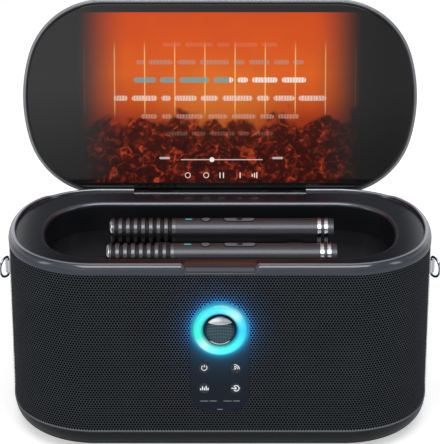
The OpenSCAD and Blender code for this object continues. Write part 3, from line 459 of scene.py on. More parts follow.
real = put(bend, "GeometryNodeRealizeInstances", {"Geometry": cells.outputs[0]})
joined = put(bend, "GeometryNodeMergeByDistance", {"Geometry": real.outputs[0], "Distance": 2e-5})
along = put(bend, "GeometryNodeSampleCurve", {
    "Curves": put(bend, "GeometryNodeObjectInfo", {"Object": G["Path"]}).outputs["Geometry"],
    "Length": (x + G["Middle of sheet"]).sum("FLOORED_MODULO", G["Path length"])}, mode="LENGTH")
up = put(bend, "ShaderNodeCombineXYZ", {"Z": y}).outputs[0]
wrapped = put(bend, "GeometryNodeSetPosition", {
    "Geometry": joined.outputs[0], "Position": vector_sum(bend, "ADD", along.outputs["Position"], up)})
coated = put(bend, "GeometryNodeSetMaterial", {"Geometry": wrapped.outputs[0], "Material": G["Finish"]})
wire(bend, out, {"Geometry": coated.outputs[0]})

# Powder-coated punched steel: satin black, faintly blue. Round the light ring a painted blue glow stands
# in for the ring's light and falls off within 20 mm.
grille_coat, tree, shader, colour = finish_for("powder_coated_steel", "#484b50", "#565a60", 30, 0.55,
                                               0.05, Specular_IOR_Level=0.03)
ring_centre, ring_edge, ring_inner = (0, -0.089, 0.1122), 0.0221, 0.0205


def painted_glow(tree, shader, near, near_mm, wide, wide_mm, code):
    """Paints a glow of one colour, in place of the light ring's light, that falls off with the distance from
    the ring, near and wide.
    """
    place = put(tree, "ShaderNodeTexCoord").outputs["Object"]
    away = vector_sum(tree, "DISTANCE", place, ring_centre)
    past = (away - ring_edge).max(0.0)
    close = (past * (-1000 / near_mm)).sum("EXPONENT") * near
    far = (past * (-1000 / wide_mm)).sum("EXPONENT") * wide
    wire(tree, shader, {"Emission Color": linear(code),
                        "Emission Strength": (far + close) * (away > ring_inner)})


painted_glow(tree, shader, 2.6, 2.2, 0.75, 7.5, "#1583D0")
quarter = round(columns * 0.36)
# Each sheet: its name, its columns, and the half width, foot, head and corners of what is let into it.
sheets = [("front", quarter, (23.9, 38.6, 136.1, 16.0, 23.9)),
          ("right", columns // 2 - quarter, (4.0, 124, 135, 1.5, 1.5)),
          ("back", quarter, (29.0, 50, 74, 6.0, 6.0)),
          ("left", columns - quarter - columns // 2, (4.0, 124, 135, 1.5, 1.5))]
first = -(quarter - 1) / 2
for label, count, cut_out in sheets:
    in_mm = {"Pitch": pitch, "Row height": row, "Lowest": sheet_low - 0.4, "Path length": length,
             "Middle of sheet": (first + (count - 1) / 2) * pitch}
    in_mm.update(zip(("Panel half width", "Panel low", "Panel high", "Low corner", "High corner"), cut_out))
    first += count
    sheet = grown("grille_sheet_" + label, bend, {
        "Cell": punched, "Path": path, "Columns": count, "Finish": grille_coat,
        "Rows": int((sheet_top - sheet_low) / row) + 2, **{key: mm / 1000 for key, mm in in_mm.items()}})
    settle(sheet, "console", "grille_steel", ("grille",), 60, keep=True)
bpy.data.objects.remove(punched)
bpy.data.objects.remove(path)
# Black cloth, glued flat behind the sheets.
liner_cloth = finish_for("black_liner_cloth", "#040405", "#070708", 3, 0.9, 0.05, 0.6, 0.05,
                         Specular_IOR_Level=0.05)[0]
verts, faces = skin([[at(s, i, z) for i, z in ((0.8, 21.2), (0.8, 158), (1.2, 158), (1.2, 21.2), (0.8, 21.2))]
                     for s in outline(BODY)], loop=True, caps=False)
piece("grille_liner", verts, faces, liner_cloth, "console", "grille_steel")

# -------------------- control panel
# A moulded smoked panel, clear-coated, that stands 0.6 mm out of the grille. A painted glow stands in
# for the ring's light, so it is bluer at the top and near black at its foot.

panel_smoke, tree, shader, colour = finish_for("smoked_polycarbonate", "#161b26", "#1a202d", 30, 0.25,
                                               0.03, Specular_IOR_Level=0.15)
# Painted light: the ring's blue glow on the panel.
painted_glow(tree, shader, 1.0, 1.6, 0.2, 8.0, "#2B9FD4")
dress(panel_smoke, "control_panel")

# -------------------- light ring
# A half-round light guide of milky acrylic, clipped in behind the panel and lit by cyan lamps. It glows
# greener at the left and the foot, with two pale streaks that are painted highlights.

ring_mid, ring_half, ring_back, ring_rise, knob_z = 17.82, 4.43, -89.4, 3.7, 112.2
section = []
for k in range(15):
    a = math.pi * k / 14
    section.append((ring_mid + ring_half * math.cos(a), ring_back - ring_rise * math.sin(a)))
section.append(section[0])
verts, faces = turned(section, 96, lambda c, s, along: (c, along, knob_z + s))


def ramp(tree, factor, stops):
    """A colour ramp over (place, hex value or level) stops."""
    made = put(tree, "ShaderNodeValToRGB", {"Fac": factor})
    while len(made.color_ramp.elements) < len(stops):
        made.color_ramp.elements.new(0.5)
    for element, (spot, tone) in zip(made.color_ramp.elements, stops):
        element.position = spot
        element.color = linear(tone) if isinstance(tone, str) else (tone, tone, tone, 1)
    return made.outputs["Color"]


# Milky acrylic with a polished face. Its hue changes round the ring, and its light is strongest in the
# middle of its width.
acrylic, tree, shader, colour = finish_for("milky_acrylic_lit", "#0d5a66", "#117080", 20, 0.12, 0.02)
x, y, z = axes_of(tree)
high = z - knob_z / 1000
away = (high * high + x * x).root()
turn = (high.sum("ARCTAN2", x) / math.tau + 1.0).sum("FRACT")
# The pale stops at 0.12 and 0.62 are painted highlights.
hues_and_highlights = ramp(tree, turn, [
    (0.0, "#27C4F2"), (0.07, "#52D6F5"), (0.12, "#B4F0FA"), (0.18, "#8FE9F8"), (0.26, "#4FDCF2"),
    (0.36, "#45DFEC"), (0.46, "#37E6CE"), (0.55, "#35EBCB"), (0.62, "#B9FBEA"), (0.68, "#7DF8EA"),
    (0.75, "#4FF6E6"), (0.88, "#3DE9EE"), (1.0, "#27C4F2")])
across = (away * 1000 - (ring_mid - ring_half)) / (2 * ring_half)
light = ramp(tree, across, [
    (0.0, 0.2), (0.12, 0.5), (0.3, 1.0), (0.55, 1.12), (0.82, 0.85), (0.93, 0.55), (1.0, 0.3)])
wire(tree, shader, {"Emission Color": hues_and_highlights, "Emission Strength": light})
piece("light_ring_guide", verts, faces, acrylic, "console", "ring_diffuser", ("light_ring",))

# -------------------- volume knob
# Turned aluminium with a smoked chrome coat: a dome with fine engraved lines across it and a polished
# edge, standing just proud of the ring.

knob_r, knob_back, knob_edge, knob_proud = 13.0, -90.1, 1.6, 5.0
profile = [(0, knob_back), (12.4, knob_back), (12.85, knob_back - 0.2), (13.0, knob_back - 0.6)]
turns = [math.pi / 2 * k / 16 for k in range(17)]
profile += [(knob_r * math.cos(a), knob_back - knob_edge - (knob_proud - knob_edge) * math.sin(a))
            for a in turns]
verts, faces = turned(profile, 72, lambda c, s, along: (c, along, knob_z + s))
# Smoked chrome over fine engraved lines and dots at 1.3 mm. A painted highlight lies over them as a bright
# cap at the top and a bright line below, and painted shade darkens them to deep blue near the edge.
smoked_chrome, tree, shader, colour = finish_for("smoked_chrome", "#dfe6ea", "#eef2f4", 6, 0.14, 0.03,
                                                 metallic=1.0)
x, y, z = axes_of(tree)
high = z - knob_z / 1000
away = (high * high + x * x).root()
cap_low, cap_bend, cap_r, foot_top, foot_r, foot_half = 0.0062, 14.0, 0.0121, -0.0083, 0.0112, 0.0005
# Painted highlight: the cap and the thin line at the foot take the bright chrome colour.
cap = (high - x * x * cap_bend > cap_low) * (away < cap_r)
foot = (high < foot_top) * (abs(away - foot_r) < foot_half)
knob_painted_highlight = cap.max(foot)
engraved_pitch = 0.0013
lines, dots = ((way * (math.tau / engraved_pitch)).sum("SINE") * 0.5 + 0.5 for way in (high, x))
groove = lines * (dots * 0.5 + 0.5)
mesh_tone = blend(tree, groove, "#14242e", "#74909e")
# Painted shade: deep blue towards the edge of the dome.
mesh_tone = blend(tree, away.mapped(0.0092, 0.0122), mesh_tone, "#14304a")
engraved = put(tree, "ShaderNodeBump", {"Height": groove - groove * knob_painted_highlight, "Distance": 0.00006})
wire(tree, shader, {"Base Color": blend(tree, knob_painted_highlight, mesh_tone, colour), "Normal": engraved.outputs[0]})
piece("volume_knob_cap", verts, faces, smoked_chrome, "volume_knob", "knob_chrome", ("knob",), 30)

# -------------------- panel buttons
# Four round keys of the same smoked plastic, flush with the panel, each with a plain white printed
# sign: a switch sign, waves, level bars and a turning arrow.

key_smoke = finish_for("smoked_polycarbonate_key", "#1b212b", "#222a35", 8, 0.22, 0.03)[0]
dress(key_smoke, "power_button", "wireless_button", "bass_button", "mode_button")
# White ink, lit from behind, and grey ink for the small print.
white_ink = finish_for("white_ink_lit", "#d9dde2", "#e6e9ed", 4, 0.5, Emission_Color=linear("#cfd6de"),
                       Emission_Strength=0.45)[0]
grey_ink = finish_for("grey_ink", "#8d949f", "#9ca3ad", 3, 0.5)[0]


def arc_line(cx, cz, r, start, stop, steps=18):
    """Points of an arc, in degrees from +X towards +Z."""
    return [(cx + r * math.cos(math.radians(start + (stop - start) * k / steps)),
             cz + r * math.sin(math.radians(start + (stop - start) * k / steps))) for k in range(steps + 1)]


def printed(name, lines, front, material, body, slot, width):
    """Raised print: each line of (x, z) points becomes a flat closed ribbon on the face at y = front."""
    verts, faces = [], []
    for line in lines:
        rings = []
        for k, (x, z) in enumerate(line):
            px, pz = line[max(k - 1, 0)]
            qx, qz = line[min(k + 1, len(line) - 1)]
            size = math.hypot(qx - px, qz - pz) or 1.0
            u, v = -(qz - pz) / size * width / 2, (qx - px) / size * width / 2
            rings.append([(x + side * u, front + deep, z + side * v) for side, deep in
                          ((1, -0.05), (-1, -0.05), (-1, 0.05), (1, 0.05), (1, -0.05))])
        more, more_faces = skin(rings, caps=False)
        more_faces += [(0, 1, 2, 3), tuple(len(more) - 5 + k for k in (3, 2, 1, 0))]
        faces += [[len(verts) + k for k in face] for face in more_faces]
        verts += more
    return piece(name, verts, faces, material, body, slot)


key_x, high_row, low_row, key_face = 12.65, 78.3, 60.0, -89.9
signs = [
    ("power", 0.58, [arc_line(-key_x, high_row, 2.2, 125, 415),
                     [(-key_x, high_row + 0.5), (-key_x, high_row + 2.7)]]),
    ("wireless", 0.6, [arc_line(key_x - 1.2, high_row - 1.2, r, 0, 90, 10) for r in (1.3, 2.7, 4.1)]
     + [[(key_x - 1.6, high_row - 1.2), (key_x - 0.8, high_row - 1.2)]]),
    ("bass", 0.85, [[(x - key_x, low_row - 1.7), (x - key_x, low_row - 1.7 + tall)]
                    for x, tall in ((-3, 1.6), (-1.5, 3.4), (0, 2.4), (1.5, 3.8), (3, 2.0))]),
    ("mode", 0.75, [arc_line(key_x + 0.4, low_row, 2.4, -140, 140),
                    [(key_x - 3.4, low_row), (key_x + 0.6, low_row)],
                    [(key_x - 0.6, low_row + 1.1), (key_x + 0.7, low_row), (key_x - 0.6, low_row - 1.1)]])]
for key, width, lines in signs:
    printed(f"{key}_sign", lines, key_face, white_ink, f"{key}_key", "button_smoke", width)
dashes = [(-16, -9.5, 48.4), (-8.3, -2.6, 48.4), (2.8, 9.4, 48.4), (10.6, 16, 48.4), (-2.2, 2.2, 40.9)]
printed("panel_print", [[(a, z), (b, z)] for a, b, z in dashes], -89.6, grey_ink, "console",
        "panel_smoke", 0.55)

# -------------------- top rim
# A glossy moulded rim that closes the body: a raised lip with a bevelled outer edge, a lower ledge
# round the tray, a scooped notch for the fingers at the front and a gap for the hinge at the back.

TRAY, tray_shift = (144.5, 60.5, 46.0, 104.0), -4.0      # sizes as for BODY, and its place in Y
notch_half, notch_end, hinge_half, drop_from, drop_to, drop_by = 26.9, 31.2, 74.5, 146.0, 154.0, 1.2
rim_low, rim_top, ledge = 158.3, 167.0, 163.5
# Sections from outside inwards, as (inset, height): the lip, the finger notch and the hinge gap.
lip_section = [(0.3, rim_low), (0.0, 158.8), (0.0, 160.6), (0.25, 162.6), (0.9, 164.4), (2.0, 165.8),
               (3.4, 166.7), (4.6, rim_top), (5.3, rim_top), (5.8, 166.7), (6.0, 166.1), (6.0, 164.3),
               (6.3, 163.65), (7.0, ledge)]
notch_section = [(0.3, rim_low), (0.0, 158.8), (0.0, 160.0), (0.15, 160.35), (0.4, 160.6), (0.8, 160.85),
                 (2.0, 161.3), (3.2, 161.7), (4.4, 162.15), (5.4, 162.5), (6.2, 162.8), (7.0, 163.1),
                 (7.8, 163.4), (8.6, ledge)]
hinge_section = [(11.2, 159.5 + 0.24 * k) for k in range(11)] + [(11.3, 163.2), (11.5, 163.42), (12.0, ledge)]
# The columns of the skin that carry a painted highlight: the top of the lip and the mouth of the tray.
lip_columns, mouth_columns = {6, 7, 8, 9}, {14, 15, 16}


def smooth(a, b, x):
    """Goes from 0 to 1 as x goes from a to b."""
    t = min(max((x - a) / (b - a), 0.0), 1.0)
    return t * t * (3 - 2 * t)


half_w, half_d, corner, end = BODY
run_body = half_w - end + math.sqrt((end - corner) ** 2 - (half_d - corner) ** 2)
front_x = [0, 7, 14, 20, 24] + [26 + 0.5 * k for k in range(13)] + [34, 38, 44, 54, 64, 74, 84, 94]
back_x = [0, 10, 20, 30, 40, 50, 60, 68, 73, 74.45, 74.55, 76, 80, 86, 92, 97]
front_share, back_share = [x / run_body for x in front_x], [x / run_body for x in back_x]
rings = []
body_line, tray_line = (outline(size, shift, front_share, back_share)
                        for size, shift in ((BODY, 0), (TRAY, tray_shift)))
for s, t in zip(body_line, tray_line):
    section = lip_section
    if s[1] < 0 and abs(s[0]) < notch_end:
        part = 1 - smooth(notch_half, notch_end, abs(s[0]))
        section = [(a + (c - a) * part, b + (d - b) * part)
                   for (a, b), (c, d) in zip(lip_section, notch_section)]
    elif s[1] > 0 and abs(s[0]) < hinge_half:
        section = hinge_section
    elif s[1] > 0:
        drop = drop_by * (1 - smooth(drop_from, drop_to, abs(s[0])))
        section = [(i, z - drop * smooth(163.9, 166.2, z)) for i, z in lip_section]
    inner = section is hinge_section
    ring = [at(s, i, z) for i, z in section]
    ring += [at(t, i, z) for i, z in ((-3.0, ledge), (-1.85, ledge - 0.23), (-0.88, ledge - 0.88),
                                      (-0.23, ledge - 1.85), (0, ledge - 3), (0, ledge - 4))]
    ring += [at(s, 12.4 if inner else 6.2, ledge - 4.03),
             at(s, 11.8 if inner else 5.8, ledge - 4.03 if inner else rim_low)]
    rings.append(ring + [ring[0]])
verts, faces = skin(rings, loop=True, caps=False)
# Gloss ABS from a polished mould: near-black with a blue cast; a painted reflection makes the outer face
# of the lip paler. The ledge was left satin, and the top of the lip and the mouth of the tray have a
# painted highlight as a bright line.
gloss_abs, tree, shader, colour = finish_for("moulded_abs_gloss", "#16181e", "#1c1f27", 50, 0.14, 0.03,
                                             Coat_Roughness=0.1)
x, y, z = axes_of(tree)
out_x, out_y, out_z = axes_of(tree, "Normal")
# Painted reflection: the outer face of the lip is painted paler.
painted_reflection_face = (out_z < 0.8) * (out_x * x + out_y * y > 0.01)
on_lip = z > 0.1637
wire(tree, shader, {"Base Color": blend(tree, painted_reflection_face, colour, "#383c46"), "Coat Weight": on_lip,
                    "Roughness": z.mapped(0.1634, 0.1637, 0.27, 0.14)})
# Painted highlight: a bright metallic strip, paler still on the top of the lip.
edge_highlight_finish, tree, shader, colour = finish_for("painted_highlight_edge", "#666972", "#70737c", 30, 0.3, 0.05,
                                               metallic=0.9)
wire(tree, shader, {"Base Color": blend(tree, axes_of(tree)[2] > 0.1636, colour, "#a9acb6")})
piece("top_rim_moulding", verts, faces, gloss_abs, "console", "rim_gloss", ("top_rim",), 42,
      (edge_highlight_finish, lip_columns | mouth_columns, len(rings[0]) - 1))

# -------------------- microphone tray
# The tray of satin black moulded ABS hangs under the rim. Two soft silicone saddles are pressed into its
# floor to hold the microphones, and sprung brass pins, gold plated, charge them.

tray_abs = finish_for("moulded_abs_tray", "#0f1014", "#15161b", 35, 0.34, 0.05, 0.7, 0.012)[0]
silicone = finish_for("silicone", "#17181a", "#202124", 9, 0.6)[0]
brass = finish_for("gold_plated_brass", "#c79a45", "#d8ac55", 2, 0.22, metallic=1.0)[0]
dress(tray_abs, "mic_tray")
dress(silicone, "mic_saddles")
dress(brass, "charging_pins")

# -------------------- hinge
# Pressed steel brackets on the cabinet and steel arms on the lid, all blackened. A cover of moulded ABS
# hides them, and its front strip has the same painted highlight along its edge as the rim.

black_steel = finish_for("blackened_steel", "#0d0e10", "#131417", 7, 0.5, Specular_IOR_Level=0.2)[0]
dress(black_steel, "hinge_brackets", "hinge_arms")
cover_abs, tree, shader, colour = finish_for("moulded_abs_cover", "#16181e", "#1c1f27", 50, 0.2, 0.03)
# Painted highlight: the top of the front strip is painted pale.
cover_painted_highlight = axes_of(tree)[2] > 0.16355
wire(tree, shader, {"Base Color": blend(tree, cover_painted_highlight, colour, "#a7aab4"), "Roughness": cover_painted_highlight * 0.3 + 0.2})
dress(cover_abs, "hinge_cover")

# -------------------- strap rings and lugs
# Cast lugs fixed through the grille, and bent wire rings that swing in them, all chrome plated. The CAD
# solids have the right shape and keep it.

chrome = finish_for("chrome_plate", "#c8ccd1", "#d6dade", 3, 0.09, 0.03, metallic=1.0)[0]
dress(chrome, "strap_ring_left", "strap_ring_right", "strap_lugs")

# -------------------- back sockets
# A port panel of moulded ABS let into the grille at the back, with a USB-C socket for charging and a
# 3.5 mm audio socket, both in tinned steel.

port_abs = finish_for("moulded_abs_port", "#17181b", "#1f2024", 10, 0.4, 0.05, 0.5, 0.012)[0]
dress(port_abs, "port_panel")
dress(tinned, "usb_c_socket", "aux_socket")

# -------------------- lid
# A hollow lid on two friction hinges: a satin moulded back, a trim frame with a silver-painted edge and
# a cover glass over the screen. It is drawn closed, flat on the rim, and turned up to its resting lean.

hinge_y, hinge_z, lean = 84.5, 159.4, math.radians(-102)


def opened(point):
    """Turns a point of the closed lid up about the hinge."""
    x, y, z = point
    a, b = y - hinge_y, z - hinge_z
    return (x, hinge_y + a * math.cos(lean) - b * math.sin(lean),
            hinge_z + a * math.sin(lean) + b * math.cos(lean))


stations = outline(BODY, corner_steps=40, end_steps=18)
back_section = [(7.8, 169.42), (4.5, 169.42), (4.5, 173.4)]
back_section += [(10.5 - 6 * math.cos(math.pi / 2 * k / 12), 173.4 + 6 * math.sin(math.pi / 2 * k / 12))
                 for k in range(1, 13)]
verts, faces = skin([[opened(at(s, i, z)) for i, z in back_section] for s in stations], loop=True)
lid_abs = finish_for("moulded_abs_lid", "#1b1c20", "#232428", 50, 0.34, 0.05, 0.6, 0.012)[0]
piece("lid_back_moulding", verts, faces, lid_abs, "lid", "lid_abs", ("lid_back",))
frame_section = [(4.5, 169.4), (4.5, 168.1), (4.62, 167.7), (5.0, 167.42), (6.7, 167.4), (7.9, 167.4),
                 (8.2, 167.5), (8.25, 169.4), (4.5, 169.4)]
verts, faces = skin([[opened(at(s, i, z)) for i, z in frame_section] for s in stations], True, False)
silver_paint = finish_for("silver_paint", "#85888c", "#94979b", 30, 0.3, 0.04, metallic=0.6)[0]
piece("lid_trim_frame", verts, faces, silver_paint, "lid", "frame_silver", ("lid_frame",), 38,
      (lid_abs, {4, 5, 6}, len(frame_section) - 1))
glass_section = [(8.4, 167.9), (8.4, 166.2), (8.46, 165.85), (8.66, 165.6), (9.0, 165.44), (9.4, 165.4)]
verts, faces = skin([[opened(at(s, i, z)) for i, z in glass_section] for s in stations], loop=True)

# Cover glass, inked black on its back outside the picture, with the lit display bonded behind it. The
# picture is a plain one of its own: a warm stage glow with light beams, dark foliage below, striped bars
# where the words of a song run, and the signs of a player. It is drawn in mm on the closed lid.
glass, tree, shader, colour = finish_for("inked_cover_glass", "#060607", "#09090a", 90, 0.07, 0.01, IOR=1.5)
c, s = math.cos(-lean), math.sin(-lean)
closed = put(tree, "ShaderNodeMapping", {
    "Vector": put(tree, "ShaderNodeTexCoord").outputs["Object"], "Rotation": (-lean, 0, 0),
    "Location": (0, (hinge_y - hinge_y * c + hinge_z * s) / 1000,
                 (hinge_z - hinge_y * s - hinge_z * c) / 1000)}).outputs[0]
mm = vector_sum(tree, "MULTIPLY", closed, (1000, -1000, 0))
px, py, pz = axes_of(tree, mm)


def step_down(value, start, stop):
    """1 below start and 0 above stop, smooth between."""
    return value.mapped(start, stop, 1.0, 0.0, "SMOOTHSTEP")


def bars(items, soft=0.35):
    """A mask of rounded bars, each (middle x, middle y, half length, half height)."""
    total = 0.0
    for x, y, half_l, half_h in items:
        away = vector_sum(tree, "ABSOLUTE", vector_sum(tree, "SUBTRACT", mm, (x, y, 0)))
        away = vector_sum(tree, "MAXIMUM", vector_sum(tree, "SUBTRACT", away, (half_l - half_h, 0, 0)))
        total = step_down(vector_sum(tree, "LENGTH", away), half_h - soft, half_h + soft).max(total)
    return total


def words(y, half_h, lengths, space=3.6):
    """A centred line of bars, in place of words."""
    x = -(sum(lengths) + space * (len(lengths) - 1)) / 2
    items = []
    for long in lengths:
        items.append((x + long / 2, y, long / 2, half_h))
        x += long + space
    return bars(items)


def noise(scale, detail, distortion=0.0):
    """Noise over the picture."""
    made = put(tree, "ShaderNodeTexNoise", {"Vector": mm, "Scale": scale, "Detail": detail,
                                            "Distortion": distortion})
    return Value(tree, made.outputs["Fac"])


# The glow, its haze and the light beams, which stand 26 mm apart.
half_high, half_wide, fade_from = 74.0, 124.0, 76.0
sky = ramp(tree, py.mapped(-half_high, half_high), [
    (0.0, "#240805"), (0.2, "#4A130A"), (0.38, "#9A3212"), (0.5, "#D2581B"), (0.64, "#E2641F"),
    (0.84, "#DE571E"), (1.0, "#D8501F")])
squashed = vector_sum(tree, "MULTIPLY", vector_sum(tree, "SUBTRACT", mm, (0, -4, 0)), (0.62, 1.0, 0))
picture = blend(tree, step_down(vector_sum(tree, "LENGTH", squashed), 2.0, 48.0) * 0.42, sky, "#EE9438")
picture = blend(tree, noise(0.03, 3.0) * 0.4, picture, "#A33A18")
beams = step_down(abs(px.sum("PINGPONG", 26.0) - 13.0), 0.15, 0.75) * step_down(abs(py - 16.0), 20.0, 36.0)
picture = blend(tree, beams * 0.7, picture, "#FFD08C")
# The foliage, under an uneven upper edge.
top_edge = (noise(0.04, 2.0) - 0.5) * 70.0 + py
leaves = noise(0.13, 4.0, 1.2)
foliage = ramp(tree, leaves, [(0.3, "#1A0403"), (0.5, "#360B06"), (0.6, "#6A1E0E"), (0.7, "#B03C18")])
picture = blend(tree, step_down(top_edge, -24.0, -15.0) * 0.92, picture, foliage)
# The lines of words: height, half height, share, colour and lengths. One is part sung, in cyan.
strokes = (leaves * 9.0 + px * (math.tau / 2.5)).sum("SINE") * 0.3 + 0.7
sung = blend(tree, step_down(px, 7.5, 8.5), "#F4EEE8", "#38A9AE")
for y, half_h, share, tone, lengths in (
        (46, 1.6, 0.14, "#D8B8A4", (16, 24, 11, 20, 14)),
        (31, 1.9, 0.5, "#8FA39C", (7, 21, 16, 25, 10, 18, 13, 9)),
        (15.6, 2.2, 1.0, sung, (19, 13, 26, 17, 9, 22, 21)),
        (-0.2, 2.2, 0.85, "#EBD8CA", (12, 22, 8, 19, 15, 26, 11, 18, 24)),
        (-16, 1.9, 0.5, "#D5AE9A", (14, 9, 24, 17, 21, 12, 18)),
        (-31, 1.6, 0.12, "#D8B8A4", (18, 12, 22, 9, 17))):
    picture = blend(tree, words(y, half_h, lengths) * share * strokes, picture, tone)
# The player: its track with a knob, two times, and a row of signs made of hoops and upright strokes.
track_y, sign_y = -53.8, -67.5
picture = blend(tree, bars([(1.5, track_y, 35.5, 0.35)], 0.2) * 0.8, picture, "#E9D9CF")
times = bars([(-48, -52.4, 4.6, 0.9), (50, -52.4, 4.6, 0.9)], 0.4) * 0.55
signs = bars([(-7, track_y, 2.1, 2.1)], 0.3).max(times)
for x in (-28, -12):
    hoop = vector_sum(tree, "DISTANCE", mm, (x, sign_y, 0))
    signs = signs.max(step_down(abs(hoop - 2.2), 0.1, 0.42))
for x, tall in ((0, 2.4), (3, 2.4), (17.5, 2.4), (28, 1.2), (30, 2.0), (32, 2.6)):
    upright = step_down(abs(px - x), 0.22, 0.62) * step_down(abs(py - sign_y), tall - 0.2, tall + 0.2)
    signs = signs.max(upright)
picture = blend(tree, signs, picture, "#F2E9E4")
# The picture fades out to its sides and ends on the display's face. An anti-reflection film covers it,
# so that the studio shows in the inked border only.
lit = step_down(abs(px), fade_from, half_wide) * step_down(abs(py), half_high - 0.6, half_high + 0.2)
lit = lit * (axes_of(tree, closed)[2] < 0.1659)
wire(tree, shader, {"Emission Color": picture, "Emission Strength": lit,
                    "Specular IOR Level": lit * -0.42 + 0.5})
piece("cover_glass", verts, faces, glass, "lid", "screen_glass", ("screen_glass",))
dress(basket_steel, "lcd_panel")

# -------------------- microphones
# Two slim microphones. Barrel and head are anodised aluminium, the head with turned ribs, the end cap
# polished, with a clear lamp, a soft key and a rocking pad set in the barrel and two chrome rings.

rear_y, front_y, mic_z, mic_r = 23.5, -31.5, 150.8, 11.0
key_x, pad_x, first_groove, groove_pitch = -11.8, 16.2, -88.3, 6.4
anodised = finish_for("anodised_aluminium_dark", "#47474c", "#515156", 20, 0.3, 0.04, 0.35, 0.004,
                      metallic=0.8)[0]
ribbed = finish_for("anodised_aluminium_ribs", "#5a5a60", "#69696f", 10, 0.26, 0.04, metallic=0.9)[0]
# Painted shade: the grooves between the ribs are painted near black.
groove_shade = finish_for("aluminium_grooves_painted_shade", "#101012", "#161618", 10, 0.5, metallic=0.3)[0]
polished = finish_for("polished_aluminium", "#a9acb0", "#bfc2c6", 5, 0.16, 0.03, metallic=1.0)[0]
# The keys have a dark joint round them, and the pad is darker in its middle.
soft_key, tree, shader, colour = finish_for("soft_touch_plastic", "#5c5a5f", "#69676c", 6, 0.42, 0.04)
in_mm = vector_sum(tree, "MULTIPLY", put(tree, "ShaderNodeTexCoord").outputs["Object"], (1000, 1000, 0))
x, y, z = axes_of(tree, in_mm)
across = y - (y > -4.0) * (rear_y - front_y) - front_y
to_key, to_pad = x - key_x, abs(x - pad_x)
to_end = (to_pad - 9.5).max(0.0)
key = (to_key * to_key + across * across).root()
pad = (to_end * to_end + across * across).root()
joint = (key - 0.3).sum("MINIMUM", pad) > 3.1
pad_middle = to_pad * to_pad + across * across < 7.0
wire(tree, shader, {"Base Color": blend(tree, joint.max(pad_middle), colour, "#131214")})
lamp = finish_for("clear_lamp_lit", "#0f5f60", "#147374", 3, 0.2, Emission_Color=linear("#35b8bd"),
                  Emission_Strength=0.7)[0]
for which, mic_y in (("rear", rear_y), ("front", front_y)):
    dress(anodised, f"mic_{which}_barrel")
    dress(soft_key, f"mic_{which}_button", f"mic_{which}_pad")
    dress(chrome, f"mic_{which}_rings")
    dress(lamp, f"mic_{which}_led")
    dress(fibreglass, f"mic_{which}_core")
    profile = [(0, -90.3), (10.4, -90.3), (10.9, -90.0), (mic_r, -89.6)]
    for k in range(8):
        x = first_groove + groove_pitch * k
        profile += [(mic_r, x - 0.35), (10.75, x - 0.05), (10.2, x + 0.1), (9.4, x + 0.25), (9.4, x + 2.75),
                    (10.2, x + 2.9), (10.75, x + 3.05), (mic_r, x + 3.35)]
    profile += [(mic_r, -37.1), (10.8, -36.85), (0, -36.8)]
    grooves = {3 + 8 * k + j for k in range(8) for j in (2, 3, 4, 5)}
    cap_profile = [(0, -92.8), (8.4, -92.8), (9.2, -92.6), (9.9, -92.2), (10.4, -91.6), (10.55, -90.9),
                   (10.6, -90.3), (0, -90.3)]

    def lay(c, s, along):
        return (along, mic_y + c, mic_z + s)

    piece(f"mic_{which}_ribbed_head", *turned(profile, 64, lay), ribbed, f"mic_{which}", "mic_head_metal",
          (f"mic_{which}_head",), 34, (groove_shade, grooves, len(profile) - 1))
    piece(f"mic_{which}_end_cap", *turned(cap_profile, 64, lay), polished, f"mic_{which}", "cap_silver",
          (f"mic_{which}_cap",), 40)

# -------------------- floor, light and camera
# A pale paper floor that runs out of sight, in a white room with two soft boxes at the sides and one
# overhead.

floor_mat, tree, shader, colour = finish_for("studio_paper", "#e9e9ea", "#eeeeef", 300, 0.9)


def seen_itself(tree):
    """1 for what the camera sees itself or through glass, 0 for what only lights or is reflected."""
    path = put(tree, "ShaderNodeLightPath").outputs
    return Value(tree, path["Is Camera Ray"]).max(path["Is Transmission Ray"])


wire(tree, shader, {"Emission Color": (1, 1, 1, 1), "Emission Strength": seen_itself(tree) * 0.5})
far = 6000
corners = [(-far, -far, 0), (far, -far, 0), (far, far, 0), (-far, far, 0)]
floor = object_of("studio_floor", corners, [(0, 1, 2, 3)])
floor.data.materials.append(floor_mat)

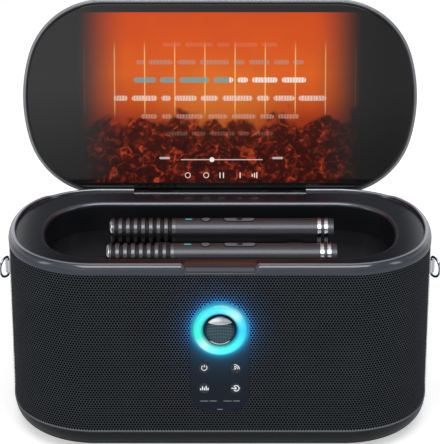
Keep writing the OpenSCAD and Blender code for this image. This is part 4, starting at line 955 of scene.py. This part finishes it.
world = bpy.data.worlds.new("studio")
scene.world = world
world.use_nodes = True
tree = world.node_tree
tree.nodes.clear()
# Reflections see a studio that is palest just above the floor and overhead, with dark flags at the sides
# and a darker right half in front. The camera sees plain white.
x, y, z = axes_of(tree, "Generated")
up = Value(tree, ramp(tree, z, [(0.0, 0.6), (0.11, 1.1), (0.36, 1.0), (0.58, 0.4), (0.86, 0.4), (1.0, 1.0)]))
flags = abs(x).mapped(0.4, 0.9, 1.0, 0.45)
front = (x.mapped(-0.12, 0.14, 1.0, 0.5) - 1.0) * (y < 0.0) + 1.0
soft, plain = (put(tree, "ShaderNodeBackground", {"Color": (1, 1, 1, 1), "Strength": level}).outputs[0]
               for level in (up * flags * front, 1.0))
both = put(tree, "ShaderNodeMixShader", {0: seen_itself(tree), 1: soft, 2: plain})
put(tree, "ShaderNodeOutputWorld", {"Surface": both.outputs[0]})


def soft_box(name, place, aim, wide, tall, power):
    """A rectangular soft box that faces a point."""
    lamp_data = bpy.data.lights.new(name, "AREA")
    lamp_data.shape = "RECTANGLE"
    lamp_data.size, lamp_data.size_y, lamp_data.energy = wide, tall, power
    made = bpy.data.objects.new(name, lamp_data)
    made.location = place
    direction = [a - p for a, p in zip(aim, place)]
    made.rotation_euler = Vector(direction).to_track_quat("-Z", "Y").to_euler()
    scene.collection.objects.link(made)


soft_box("box_top", (0.1, -0.8, 1.75), (0, 0, 0.15), 1.5, 1.0, 17.0)
soft_box("box_left", (-1.8, -0.6, 0.9), (0, 0, 0.12), 0.4, 1.2, 3.0)
soft_box("box_right", (1.8, -0.6, 0.9), (0, 0, 0.12), 0.4, 1.2, 3.0)

# The camera stands 1.7 m away and looks down by 21.8 degrees through a long lens, as in the photograph.
camera_data = bpy.data.cameras.new("camera")
camera = bpy.data.objects.new("camera", camera_data)
scene.collection.objects.link(camera)
camera_data.sensor_width = 36
camera_data.lens = 2051.5 * 36 / 444
camera_data.clip_start, camera_data.clip_end = 0.05, 50
camera.location = (0, -1.5774, 0.8008)
camera.rotation_euler = (math.radians(90 - 21.84), 0, 0)
scene.camera = camera
